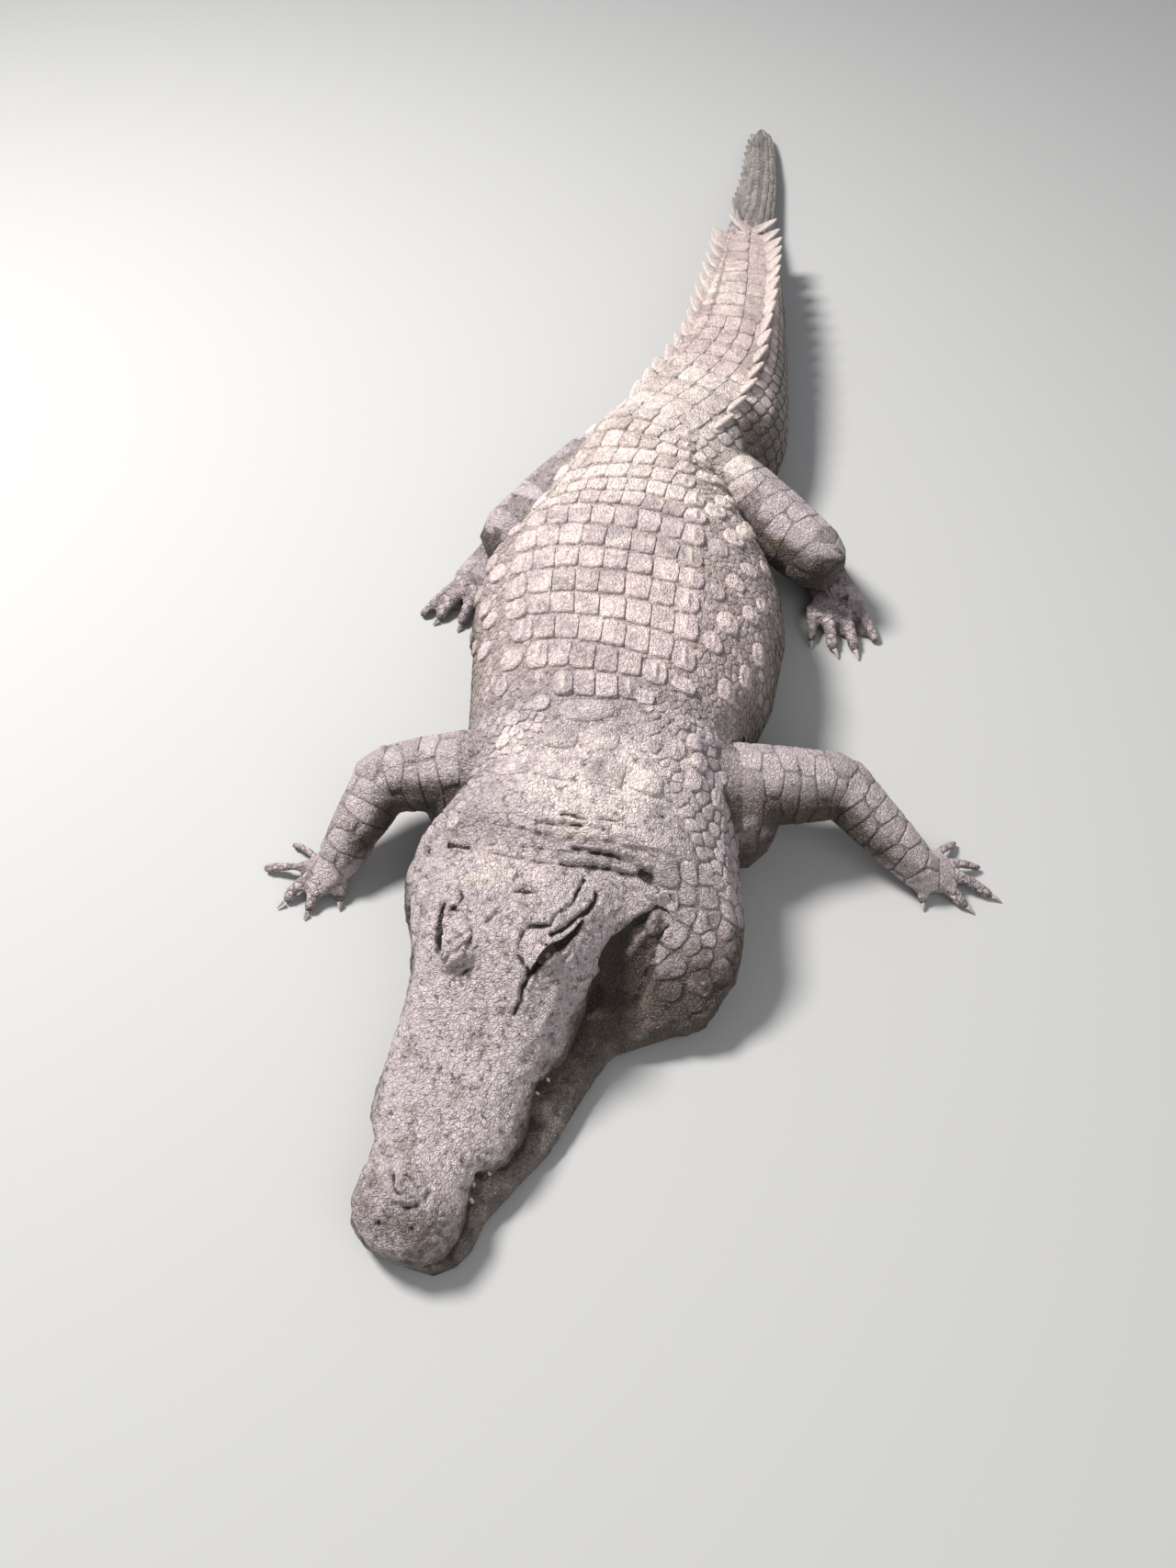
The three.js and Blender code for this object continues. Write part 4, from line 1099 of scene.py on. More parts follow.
        relief = np.stack([rim, np.repeat(lot, each), np.clip(keel / KEEL, 0, 1).ravel(), np.ones(len(rim))],
                          axis=1)
        spots = self.chart.unwrap(seeds.b, seeds.a)[:, None]
        patch = np.stack([np.cos(self._turns()), np.sin(self._turns())], axis=-1) * PATCH
        patch = np.concatenate([patch * ring for ring, _ in self.rings] + [np.zeros((1, 2))])
        held = np.repeat(sound, each)
        coat.add(points[held].reshape(-1, each, 3), ring_faces(len(self.rings), self.corners), relief[held],
                 (spots + patch).reshape(-1, 2)[held])


def ring_faces(rings: int, corners: int) -> Array:
    """The triangles between rings of corners, the last of which closes on one middle vertex."""
    faces = []
    for ring in range(rings - 1):
        for corner in range(corners):
            following = (corner + 1) % corners
            outer, outer_next = ring * corners + corner, ring * corners + following
            inner, inner_next = outer + corners, outer_next + corners
            faces += [(outer, outer_next, inner_next), (outer, inner_next, inner)]
    last, middle = (rings - 1) * corners, rings * corners
    faces += [(last + corner, last + (corner + 1) % corners, middle) for corner in range(corners)]
    return np.array(faces)


class Coat:
    """One piece of the coat: many small shapes that stand on the skin, joined into one mesh.

    The skin is looked for as far as near to either side of a place.
    """

    near = 0.045

    def __init__(self, skin: BVHTree) -> None:
        """Starts an empty piece over the skin."""
        self.skin = skin
        self.points: list[Array] = []
        self.faces: list[Array] = []
        self.relief: list[Array] = []
        self.spots: list[Array] = []
        self.count = 0

    def lift(self, places: Array, outs: Array) -> Array:
        """How far out the skin lies from places, or nan where none is near.

        Args:
            places: the places, one in each row.
            outs: the outward directions.

        Returns:
            One distance for each place.
        """
        return self.near - cast(self.skin, places + outs * self.near, -outs, 2 * self.near)

    def add(self, points: Array, faces: Array, relief: Array, spots: Array) -> None:
        """Adds shapes that all have the same faces.

        Args:
            points: the vertices of each shape, one shape in each row.
            faces: the triangles of one shape.
            relief: four numbers for each vertex, for the finish.
            spots: each vertex's place on the bake map.
        """
        shapes, vertices = points.shape[:2]
        offsets = self.count + np.arange(shapes) * vertices
        self.faces.append((faces[None] + offsets[:, None, None]).reshape(-1, 3))
        self.points.append(points.reshape(-1, 3))
        self.relief.append(relief)
        self.spots.append(spots)
        self.count += shapes * vertices

    def build(self, name: str, slot: str, markings: "Markings", finish: Material) -> Object:
        """Joins the shapes and puts them in the scene.

        Args:
            name: the piece's name.
            slot: the record's material slot.
            markings: where the hide is muddy, darker in tone and painted with shade, rosy and wet.
            finish: the hide's material.

        Returns:
            The piece.
        """
        points = np.concatenate(self.points)
        faces = np.concatenate(self.faces)
        mesh = bpy.data.meshes.new(name)
        mesh.vertices.add(len(points))
        mesh.vertices.foreach_set("co", points.ravel())
        mesh.loops.add(faces.size)
        mesh.loops.foreach_set("vertex_index", faces.ravel())
        mesh.polygons.add(len(faces))
        mesh.polygons.foreach_set("loop_start", np.arange(0, faces.size, 3))
        mesh.polygons.foreach_set("loop_total", np.full(len(faces), 3))
        mesh.update(calc_edges=True)
        layer = mesh.uv_layers.new(name="OFBake")
        layer.data.foreach_set("uv", np.concatenate(self.spots)[faces.ravel()].astype(np.float32).ravel())
        set_attribute(mesh, "relief", np.concatenate(self.relief))
        set_attribute(mesh, "marks", markings.at(points))
        mesh.polygons.foreach_set("use_smooth", np.ones(len(faces), bool))
        mesh.materials.append(finish)
        return finished_object(name, mesh, slot)


# ---------- where the scales stand


# The rows of the back: y of the front edge, the way round to the right and left edges, the scutes.
BACK_ROWS = [(-0.331, -0.064, 0.060, 4), (-0.287, -0.110, 0.098, 6), (-0.237, -0.143, 0.143, 8),
             (-0.184, -0.158, 0.145, 8), (-0.134, -0.158, 0.147, 8), (-0.080, -0.156, 0.150, 8),
             (-0.030, -0.155, 0.152, 8), (0.023, -0.142, 0.155, 8), (0.082, -0.130, 0.155, 8),
             (0.125, -0.118, 0.146, 8), (0.167, -0.102, 0.126, 6), (0.210, -0.098, 0.118, 6),
             (0.257, -0.094, 0.110, 6), (0.299, -0.088, 0.100, 6), (0.334, -0.080, 0.092, 4),
             (0.372, 0.0, 0.0, 0)]
# Single large scales: y, the way round, half their length and width.
NECK_OVALS = [(-0.338, -0.080, 0.013, 0.014), (-0.320, 0.068, 0.014, 0.015), (-0.347, 0.125, 0.012, 0.012),
              (-0.392, 0.116, 0.017, 0.016), (-0.398, 0.156, 0.014, 0.013), (-0.372, 0.146, 0.013, 0.013),
              (-0.425, 0.150, 0.016, 0.012), (-0.429, 0.196, 0.014, 0.012), (-0.352, 0.176, 0.012, 0.012),
              (-0.355, -0.120, 0.012, 0.012), (-0.392, -0.130, 0.014, 0.013), (-0.300, -0.150, 0.012, 0.012)]
NUCHALS = [(-0.401, -0.044, 0.019, 0.026), (-0.399, 0.012, 0.019, 0.027), (-0.451, -0.100, 0.020, 0.034),
           (-0.452, -0.036, 0.023, 0.034), (-0.452, 0.030, 0.023, 0.033), (-0.453, 0.084, 0.018, 0.026),
           (-0.353, -0.012, 0.019, 0.040)]


@dataclass
class BodyScales:
    """Lays out the scales of neck, trunk and tail.

    Rows of scutes lean by row_tilt and bow by row_bow. The tail's double crest starts at crest_from,
    with a fin at each crest_pitch, and its rows meet at merge; from there single_pitch holds. The
    back's scutes end at the hips.
    """

    tube: BodyTube
    row_tilt: float = -0.04
    row_bow: float = -0.45
    hips: float = 0.372
    crest_pitch: float = 0.057
    crest_from: float = 0.428
    merge: float = 1.26
    single_pitch: float = 0.046
    tail_tip: float = 2.00

    def row_shift(self, y: Array, a: Array) -> Array:
        """How far behind its middle a row of scutes lies at a place round the body."""
        trunk = ramp(y, 0.75, 0.40) * ramp(y, -0.36, -0.26)
        return trunk * (self.row_tilt * a + self.row_bow * a * a)

    def back(self) -> Seeds:
        """The squarish scutes of the back, in rows that bow back towards their ends."""
        rows = []
        draw = np.random.default_rng(4)
        for (y, right, left, number), following in zip(BACK_ROWS, BACK_ROWS[1:]):
            pitch = following[0] - y
            width = (left - right) / number
            for column in range(number):
                a = right + width * (column + 0.5)
                shift = self.row_shift(np.array(y + 0.001), np.array(a))
                outer = column in (0, number - 1)
                half_b = pitch * (0.46 if outer else 0.472)
                middle = y + pitch / 2 + shift + draw.normal(0, 0.0010)
                a += draw.normal(0, 0.0016)
                height = 0.0036 + draw.uniform(-0.0005, 0.0010)
                keel, square = (0.0050, 3.2) if outer else (0.0014, 9.0)
                rows.append((middle, a, half_b, width * 0.53, height, keel, square))
        return Seeds.of(rows)

    def crest_gap(self, y: float) -> float:
        """How far round from the middle each row of the double crest stands."""
        return float(np.interp(y, [0.40, 0.55, 0.75, 1.0, 1.2, 1.26],
                               [0.078, 0.080, 0.062, 0.050, 0.040, 0.032]))

    def tail_top(self) -> Seeds:
        """The scutes between and just beside the rows of the double crest."""
        rows = []
        draw = np.random.default_rng(8)
        for y in np.arange(self.hips + self.crest_pitch / 2, self.merge, self.crest_pitch):
            edge = self.crest_gap(y)
            number = max(2, 2 * round(edge / 0.040))
            for column in range(number):
                a = edge * (2 * (column + 0.5) / number - 1)
                rows.append((y + draw.normal(0, 0.0012) + self.row_shift(np.array(y), np.array(a)), a,
                             self.crest_pitch * 0.482, edge / number * 1.05, 0.0030, 0.0006, 9.0))
        return Seeds.of(rows)

    def tail_sides(self) -> Seeds:
        """The plates on the sides and underside of the tail, in rings that match the crest."""
        rows = []
        draw = np.random.default_rng(12)
        for y in np.append(np.arange(0.36, self.merge, self.crest_pitch / 2),
                           np.arange(self.merge, self.tail_tip, self.single_pitch / 2)):
            single = y > self.merge
            length = (self.single_pitch if single else self.crest_pitch) / 4
            whole = float(np.interp(y, self.tube.y, self.tube.half_round))
            first = 0.006 if single else self.crest_gap(y) + 0.006
            tall = float(np.interp(y, [0.36, 0.9, 1.3, 2.0], [0.026, 0.024, 0.018, 0.010]))
            number = max(1, round((whole - first) / tall))
            tall = (whole - first) / number
            for sign in (1, -1):
                for row in range(number):
                    a = sign * (first + tall * (row + 0.5))
                    shift = self.row_shift(np.array(y), np.array(np.clip(a, -0.2, 0.2)))
                    rows.append((y + shift + draw.normal(0, 0.0008), a + draw.normal(0, 0.0007), length,
                                 tall * 0.52, 0.0016, 0, 6.0))
        seeds = Seeds.of(rows)
        return seeds.chosen(seeds.b < self.tail_tip + 0.005)

    def flanks(self, only_ovals: bool) -> Seeds:
        """Either the large ovals on both sides of the trunk or the pebbles between them."""
        draw = np.random.default_rng(20)
        ovals = []
        for y, half_b, half_a, line in self.oval_lines():
            ovals.append((y + draw.normal(0, 0.003), line + draw.normal(0, 0.003),
                          half_b * draw.uniform(0.85, 1.1), half_a * draw.uniform(0.85, 1.1),
                          0.0048, 0.0018, 2.3))
        fixed = Seeds.of(ovals)
        fixed = fixed.chosen(np.abs(fixed.a) < 0.34)
        if only_ovals:
            return fixed
        back = self.back()
        core = np.stack([back.b, back.a], axis=1)

        def inside(b: Array, a: Array) -> Array:
            """Whether scales stand at places."""
            clear = np.hypot(b[:, None] - core[:, 0], a[:, None] - core[:, 1]).min(axis=1) > 0.027
            return clear & (np.abs(a) > 0.085) & (np.abs(a) < 0.335) & (b - self.row_shift(b, a) < 0.345)

        def size(b: Array, a: Array) -> Array:
            """Half the width of a scale at places."""
            return 0.0050 + 0.0036 * ramp(np.abs(a), 0.26, 0.31)

        return scattered(fixed, (-0.33, 0.37, -0.335, 0.335), size, inside, 0.0010, 21, 18000)

    def oval_lines(self) -> list[tuple[float, float, float, float]]:
        """The large ovals beside the back, one or two to a row of scutes on each side.

        Returns:
            The y, half length, half width and way round of each.
        """
        found = []
        for index, ((y, right, left, _), following) in enumerate(zip(BACK_ROWS[1:-2], BACK_ROWS[2:])):
            middle = (y + following[0]) / 2
            for sign, edge in ((1, left), (-1, -right)):
                first = edge + 0.026
                lines = [first, first + 0.062] if index % 2 == 0 else [first + 0.031, first + 0.092]
                if index in (0, 1):
                    lines = lines[:1]
                for number, line in enumerate(lines):
                    shift = float(self.row_shift(np.array(middle), np.array(sign * line)))
                    half_b, half_a = 0.0185 - 0.0015 * number, 0.0190 - 0.0020 * number
                    found.append((middle + shift, half_b, half_a, sign * line))
        return found

    def lower_flanks(self) -> Seeds:
        """The oval scales low on the sides, in rows that run along the body."""
        rows = []
        draw = np.random.default_rng(31)
        for sign in (1, -1):
            for line in range(5):
                a = 0.345 + 0.0185 * line
                for y in np.arange(-0.34, 0.36, 0.0215) + (line % 2) * 0.0108:
                    rows.append((y + draw.normal(0, 0.0008), sign * a + draw.normal(0, 0.0007),
                                 0.0106, 0.0094, 0.0024, 0.0006))
        seeds = Seeds.of(rows)
        return seeds.chosen(np.abs(seeds.a) < np.interp(seeds.b, self.tube.y, self.tube.half_round) - 0.01)

    def belly(self) -> Seeds:
        """The flat plates of the belly in cross rows."""
        rows = []
        for y in np.arange(-0.56, 0.36, 0.027):
            whole = float(np.interp(y, self.tube.y, self.tube.half_round))
            first = 0.437 if y > -0.35 else 0.40
            number = int((whole - first) / 0.024)
            if number < 1:
                continue
            wide = (whole - first) / number
            rows += [(y, sign * (first + wide * (column + 0.5)), 0.0136, wide * 0.51, 0.0010, 0)
                     for column in range(number) for sign in (1, -1)]
        return Seeds.of(rows)

    def neck(self, only_ovals: bool) -> Seeds:
        """Either the large ovals of the neck's sides or the pebbles between them."""
        fixed = Seeds.of([(y, a, half_b, half_a, 0.0046, 0.0012, 2.3) for y, a, half_b, half_a in NECK_OVALS])
        if only_ovals:
            return fixed

        def inside(b: Array, a: Array) -> Array:
            """Whether scales stand at places."""
            smooth = np.interp(b, [-0.56, -0.50, -0.46, -0.40, -0.34], [0.20, 0.155, 0.135, 0.085, 0.075])
            return (np.abs(a) > smooth) & (b < -0.335)

        def size(b: Array, a: Array) -> Array:
            """Half the width of a scale at places."""
            side = ramp(np.abs(a), 0.13, 0.26)
            return (0.0070 + 0.0042 * side) * (1 - 0.22 * ramp(b, -0.38, -0.33))

        return scattered(fixed, (-0.545, -0.322, -0.40, 0.40), size, inside, 0.0024, 41)

    def jowls(self) -> Seeds:
        """The flat many-sided scales of the throat's sides under the ears."""

        def inside(b: Array, a: Array) -> Array:
            """Whether scales stand at places."""
            x, y, _ = self.tube.place(b, a).T
            left = np.interp(y, [-0.70, -0.66, -0.62, -0.58, -0.545], [0.128, 0.124, 0.118, 0.112, 0.140])
            return (x > left) | (x < -0.196)

        def size(b: Array, a: Array) -> Array:
            """Half the width of a scale at places."""
            return np.full_like(b, 0.0118)

        return scattered(Seeds.of([]), (-0.72, -0.545, -0.50, 0.50), size, inside, 0.0013, 51)

    def nuchals(self) -> Seeds:
        """The large low plates on the nape."""
        return Seeds.of([(y, a, half_b, half_a, 0.0046, 0.0020) for y, a, half_b, half_a in NUCHALS])


def limb_seeds(chart: LimbChart, length: float, width: float, height: float, seed: int,
               around: float = math.pi, first: float = 0.4) -> Seeds:
    """Scales in rings round a limb, each ring turned by half a scale against the last.

    Args:
        chart: the limb.
        length: how long a scale is along the limb.
        width: how wide a scale is round it.
        height: how far a scale stands out.
        seed: the number the places are drawn with.
        around: how far down either side of the limb the scales reach, as an angle.
        first: how many scale lengths below the root the first ring stands.

    Returns:
        The seeds.
    """
    draw = np.random.default_rng(seed)
    rows = []
    for ring, b in enumerate(np.arange(length * first, chart.length, length)):
        radius = float(np.interp(b, chart.steps, chart.thick))
        number = max(3, round(2 * around * radius / width))
        step = 2 * around / number
        for column in range(number):
            angle = -around + step * (column + 0.5 * (ring % 2) + 0.25)
            rows.append((b + draw.normal(0, length * 0.05), (angle + draw.normal(0, 0.05)) * radius,
                         length * 0.68, step * radius * 0.56, height * draw.uniform(0.8, 1.2), 0, 9.0))
    return Seeds.of(rows)


# ---------- crest, eyes, claws and teeth


@dataclass
class Crest:
    """The upright fins of the tail, two rows that meet and run on as one.

    The rises are shares of a fin's height at which its sides have vertices. The base and the tip are
    half its thickness, the foot is how deep it goes into the tail, and flare is how far the fins of
    the double crest lean outward.
    """

    tube: BodyTube
    scales: BodyScales
    pairs: int = 15
    singles: int = 15
    stations: int = 14
    rises: tuple[float, ...] = (0.0, 0.25, 0.5, 0.75, 0.92)
    base: float = 0.0080
    tip: float = 0.0016
    foot: float = 0.006
    flare: float = 0.9
    last_pair: float = 1.25

    def fins(self) -> list[tuple[float, float, float, float]]:
        """The y, way round, length and height of each fin."""
        found = []
        for index in range(self.pairs):
            y = self.scales.crest_from + self.scales.crest_pitch * index
            share = index / (self.pairs - 1)
            for sign in (1, -1):
                found.append((y, sign * self.scales.crest_gap(y), 0.062, 0.014 + 0.026 * share))
        # The last pair stands close together and is the tallest.
        for sign in (1, -1):
            found.append((1.262, sign * 0.009, 0.050, 0.056))
        for index in range(1, self.singles + 1):
            share = index / self.singles
            found.append((1.276 + self.scales.single_pitch * index, 0.0, 0.046, 0.027 - 0.014 * share))
        return found

    def add_to(self, coat: Coat) -> None:
        """Shapes every fin and adds it to a coat."""
        draw = np.random.default_rng(61)
        ridge = self.fin_feet()
        columns = 2 * len(self.rises) + 1
        faces = self._faces(columns)
        patch = 0.0012 * np.stack([np.tile(np.linspace(-1, 1, columns), self.stations),
                                   np.repeat(np.linspace(-1, 1, self.stations), columns)], axis=1)
        for y, a, length, height in self.fins():
            foot, upright = ridge(y, a)
            outer = np.array([np.sign(a), 0, 0])
            spread = 0.45 + 0.55 * float(ramp(np.array(y), 0.95, 1.20)) + 0.8 * (y > self.last_pair)
            upright = unit(upright + outer * self.flare * spread)
            along = unit(self.tube.place(np.array(y + 0.01), np.array(0.0))
                         - self.tube.place(np.array(y - 0.01), np.array(0.0)))
            along = unit(along - upright * (along @ upright))
            points, relief = self._fin(foot, along, upright, length, height, draw)
            spots = patch + self.tube.unwrap(np.array(y), np.array(a))
            coat.add(points[None], faces, relief, spots)

    def _fin(self, foot: Array, along: Array, upright: Array, length: float, height: float,
             draw: np.random.Generator) -> tuple[Array, Array]:
        """Shapes one fin as a row of upright loops.

        Args:
            foot: the middle of its foot.
            along: the direction of its length.
            upright: the direction of its height.
            length: its length.
            height: its height.
            draw: where its small irregularities come from.

        Returns:
            Its vertices, and four numbers for each, for the finish.
        """
        shares = np.linspace(-0.5, 0.46, self.stations)
        across = np.cross(along, upright)
        outline = [0.30, 0.60, 0.86, 0.98, 1.0, 0.72]
        rise = np.interp(shares, [-0.5, -0.34, -0.05, 0.22, 0.38, 0.46], outline)
        rise = rise * (1 + draw.normal(0, 0.02, len(shares)))
        width = self.base * np.sqrt(np.clip(1 - (shares / 0.5) ** 4, 0.05, 1))
        lean = draw.normal(0, 0.05)
        points, relief = [], []
        for share, up, wide in zip(shares, rise * height, width):
            spine = foot + along * (share * length)
            for sign, levels in ((1, self.rises), (-1, self.rises[::-1])):
                for level in levels:
                    side = wide * (1 - level) ** 0.7 + self.tip * level
                    lift = -self.foot + (up + self.foot) * level
                    points.append(spine + upright * lift + across * (sign * side + lean * lift))
                    relief.append((ramp(np.array(level), 0.45, 0.95), 0.5, level, 1.0))
                if sign == 1:
                    points.append(spine + upright * (up + 0.0004) + across * lean * up)
                    relief.append((1.0, 0.5, 1.0, 1.0))
        return np.array(points), np.array(relief, float)

    def _faces(self, columns: int) -> Array:
        """The triangles of a fin whose loops have so many vertices."""
        faces = []
        for row in range(self.stations - 1):
            for column in range(columns - 1):
                first = row * columns + column
                beyond = first + columns
                faces += [(first, beyond, beyond + 1), (first, beyond + 1, first + 1)]
        last = (self.stations - 1) * columns
        faces += [(0, column, column + 1) for column in range(1, columns - 1)]
        faces += [(last + column + 1, last + column, last) for column in range(1, columns - 1)]
        return np.array(faces)

    def fin_feet(self) -> Ridge:
        """Finds where each fin stands, from the solids' own fins.

        Returns:
            A function that gives a fin's foot and upright direction at (y, way round).
        """
        tube = self.tube
        tree = ray_tree(BODY_NODES)
        reach = 0.4
        turns = np.linspace(-0.25 * math.pi, 1.25 * math.pi, 361)
        steps = np.append(np.arange(tube.around) * 2 * math.pi / tube.around, 2 * math.pi)

        def ridge(y: float, a: float) -> tuple[Array, Array]:
            """The foot and the upright direction of one fin."""
            row = int(np.clip(round((y + 0.016 - tube.y[0]) / tube.step), 1, len(tube.y) - 2))
            outward = tube.directions(turns)[row]
            gaps = cast(tree, tube.centre[row] + outward * reach, -outward, reach)
            smooth = np.interp(turns % (2 * math.pi), steps, np.append(tube.radius[row], tube.radius[row, 0]))
            stand = np.nan_to_num(reach - gaps - smooth)
            if a > 0:
                stand[turns > math.pi * 0.5] = 0
            elif a < 0:
                stand[turns < math.pi * 0.5] = 0
            stand = softened(stand, 2.0)
            best = int(np.argmax(stand))
            if stand[best] < 0.002 or (y > self.last_pair and a != 0):
                return tube.place(np.array(y), np.array(a)), tube.outward(np.array(y), np.array(a))
            along = unit(tube.centre[row + 1] - tube.centre[row - 1])
            foot = tube.centre[row] + outward[best] * smooth[best] + along * (y - tube.y[row])
            return foot, outward[best]

        return ridge


EYE_RADIUS = 0.0168


def build_eye(side: Side, finish: Material) -> Object:
    """One glossy eyeball that sits in its lids."""
    name = side.name.lower()
    shell = bmesh.new()
    ball = bmesh.ops.create_uvsphere(shell, u_segments=48, v_segments=32, radius=EYE_RADIUS)
    bmesh.ops.translate(shell, verts=ball["verts"], vec=box_middle(f"eye_{name}"))
    return smooth_piece(shell, f"eyeball_{name}", "eye", finish, f"eye_{name}")


def build_claws(finish: Material) -> Object:
    """All claws, rounded from their solids."""
    names = [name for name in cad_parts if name.startswith("claw_")]
    shell = copied(names)
    bmesh.ops.subdivide_edges(shell, edges=shell.edges, cuts=3, use_grid_fill=True)
    for _ in range(5):
        bmesh.ops.smooth_vert(shell, verts=shell.verts, factor=0.5, use_axis_x=True, use_axis_y=True,
                              use_axis_z=True)
    for vertex in shell.verts:
        vertex.co.z = max(vertex.co.z, 0.0004)
    bmesh.ops.recalc_face_normals(shell, faces=shell.faces)
    return smooth_piece(shell, "claws", "claw_horn", finish, *names)


# The teeth that show on the left: how far back along the mouth's line they stand, and their length.
TEETH = ((96, 11), (113, 16), (132, 13), (248, 11), (270, 11))


def build_teeth(head: HeadFrame, finish: Material) -> Object:
    """The few teeth that show along the mouth, as curved cones.

    Args:
        head: the head's measures.
        finish: their material.

    Returns:
        The piece.
    """
    shell = bmesh.new()
    line = np.array(MOUTH_LINE[Side.LEFT], float)
    outside, above, buried = 4.5, 8.0, 5.0
    for s, length in TEETH:
        left, z = np.interp(s, line[:, 0], line[:, 1]), np.interp(s, line[:, 0], line[:, 2])
        depth = (length + buried) * MM
        cone = bmesh.ops.create_cone(shell, cap_ends=True, segments=14, radius1=0.0042, radius2=0.0006,
                                     depth=depth)
        sides = [edge for edge in shell.edges
                 if edge.verts[0] in cone["verts"] and abs(edge.verts[0].co.z - edge.verts[1].co.z) > 0.004]
        bmesh.ops.subdivide_edges(shell, edges=sides, cuts=3)
        fresh = [vertex for vertex in shell.verts if abs(vertex.co.y) < 0.01 and abs(vertex.co.x) < 0.01]
        for vertex in fresh:
            share = min(max(vertex.co.z / depth + 0.5, 0.0), 1.0)
            belly = math.sqrt(max(1 - share ** 1.6, 0.02)) / max(1 - 0.86 * share, 0.14)
            vertex.co.x = vertex.co.x * belly - 0.003 * share * share
            vertex.co.y *= belly
        place = head.to_world(s, left + outside, z + length / 2 - above)
        bmesh.ops.translate(shell, verts=fresh, vec=Vector(place.tolist()))
    return smooth_piece(shell, "teeth", "claw_horn", finish)


# ---------- finishes


class Shader:
    """Wraps a node's socket so that shader maths reads as plain expressions."""

    def __init__(self, material: Material, socket: bpy.types.NodeSocket) -> None:
        """Keeps the socket and the material it belongs to."""
        self.material = material
        self.socket = socket

    def node(self, kind: str, settings: dict, inputs: dict, output: int | str = 0) -> "Shader":
        """Adds a node.

        Args:
            kind: the node's type.
            settings: its settings by name.
            inputs: the values or links of its sockets, by name or number.
            output: the socket that is given back.

        Returns:
            The wrapped output.
        """
        node = self.material.node_tree.nodes.new(kind)
        for name, value in settings.items():
            setattr(node, name, value)
        for name, value in inputs.items():
            if isinstance(value, Shader):
                self.material.node_tree.links.new(value.socket, node.inputs[name])
            else:
                node.inputs[name].default_value = value
        return Shader(self.material, node.outputs[output])

    def _math(self, operation: str, first: "Shader | float", second: "Shader | float") -> "Shader":
        """A Math node on two values."""
        return self.node("ShaderNodeMath", {"operation": operation}, {0: first, 1: second})

    def __add__(self, other: "Shader | float") -> "Shader":
        """The sum of two values."""
        return self._math("ADD", self, other)

    def __radd__(self, other: "Shader | float") -> "Shader":
        """The sum of two values."""
        return self._math("ADD", other, self)

    def __sub__(self, other: "Shader | float") -> "Shader":
        """The difference of two values."""
        return self._math("SUBTRACT", self, other)

    def __rsub__(self, other: "Shader | float") -> "Shader":
        """The difference of two values."""
        return self._math("SUBTRACT", other, self)

    def __mul__(self, other: "Shader | float") -> "Shader":
        """The product of two values."""
        return self._math("MULTIPLY", self, other)

    def __rmul__(self, other: "Shader | float") -> "Shader":
        """The product of two values."""
        return self._math("MULTIPLY", other, self)

    def __pow__(self, other: "Shader | float") -> "Shader":
        """The power of two values."""
        return self._math("POWER", self, other)

    def within(self, low: float, high: float) -> "Shader":
        """A smooth step from 0 at low to 1 at high."""
        settings = {"interpolation_type": "SMOOTHSTEP"}
        return self.node("ShaderNodeMapRange", settings, {"Value": self, "From Min": low, "From Max": high})

    def mixed(self, first: "Shader | Colour", second: "Shader | Colour") -> "Shader":
        """Two colours mixed by this value."""
        node = self.material.node_tree.nodes.new("ShaderNodeMix")
        node.data_type = "RGBA"
        node.clamp_factor = True
        self.material.node_tree.links.new(self.socket, node.inputs["Factor"])
        for name, value in (("A", first), ("B", second)):
            socket = [entry for entry in node.inputs if entry.name == name and entry.type == "RGBA"][0]
            if isinstance(value, Shader):
                self.material.node_tree.links.new(value.socket, socket)
            else:
                socket.default_value = (*value, 1)
        return Shader(self.material, [entry for entry in node.outputs if entry.type == "RGBA"][0])


def blank(name: str, roughness: float, colour: Colour = (0.5, 0.5, 0.5)) -> Material:
    """A new material with one plain shader."""
    material = bpy.data.materials.new(name)
    material.use_nodes = True
    shader = material.node_tree.nodes["Principled BSDF"]
    shader.inputs["Roughness"].default_value = roughness
    shader.inputs["Base Color"].default_value = (*colour, 1)
    return material


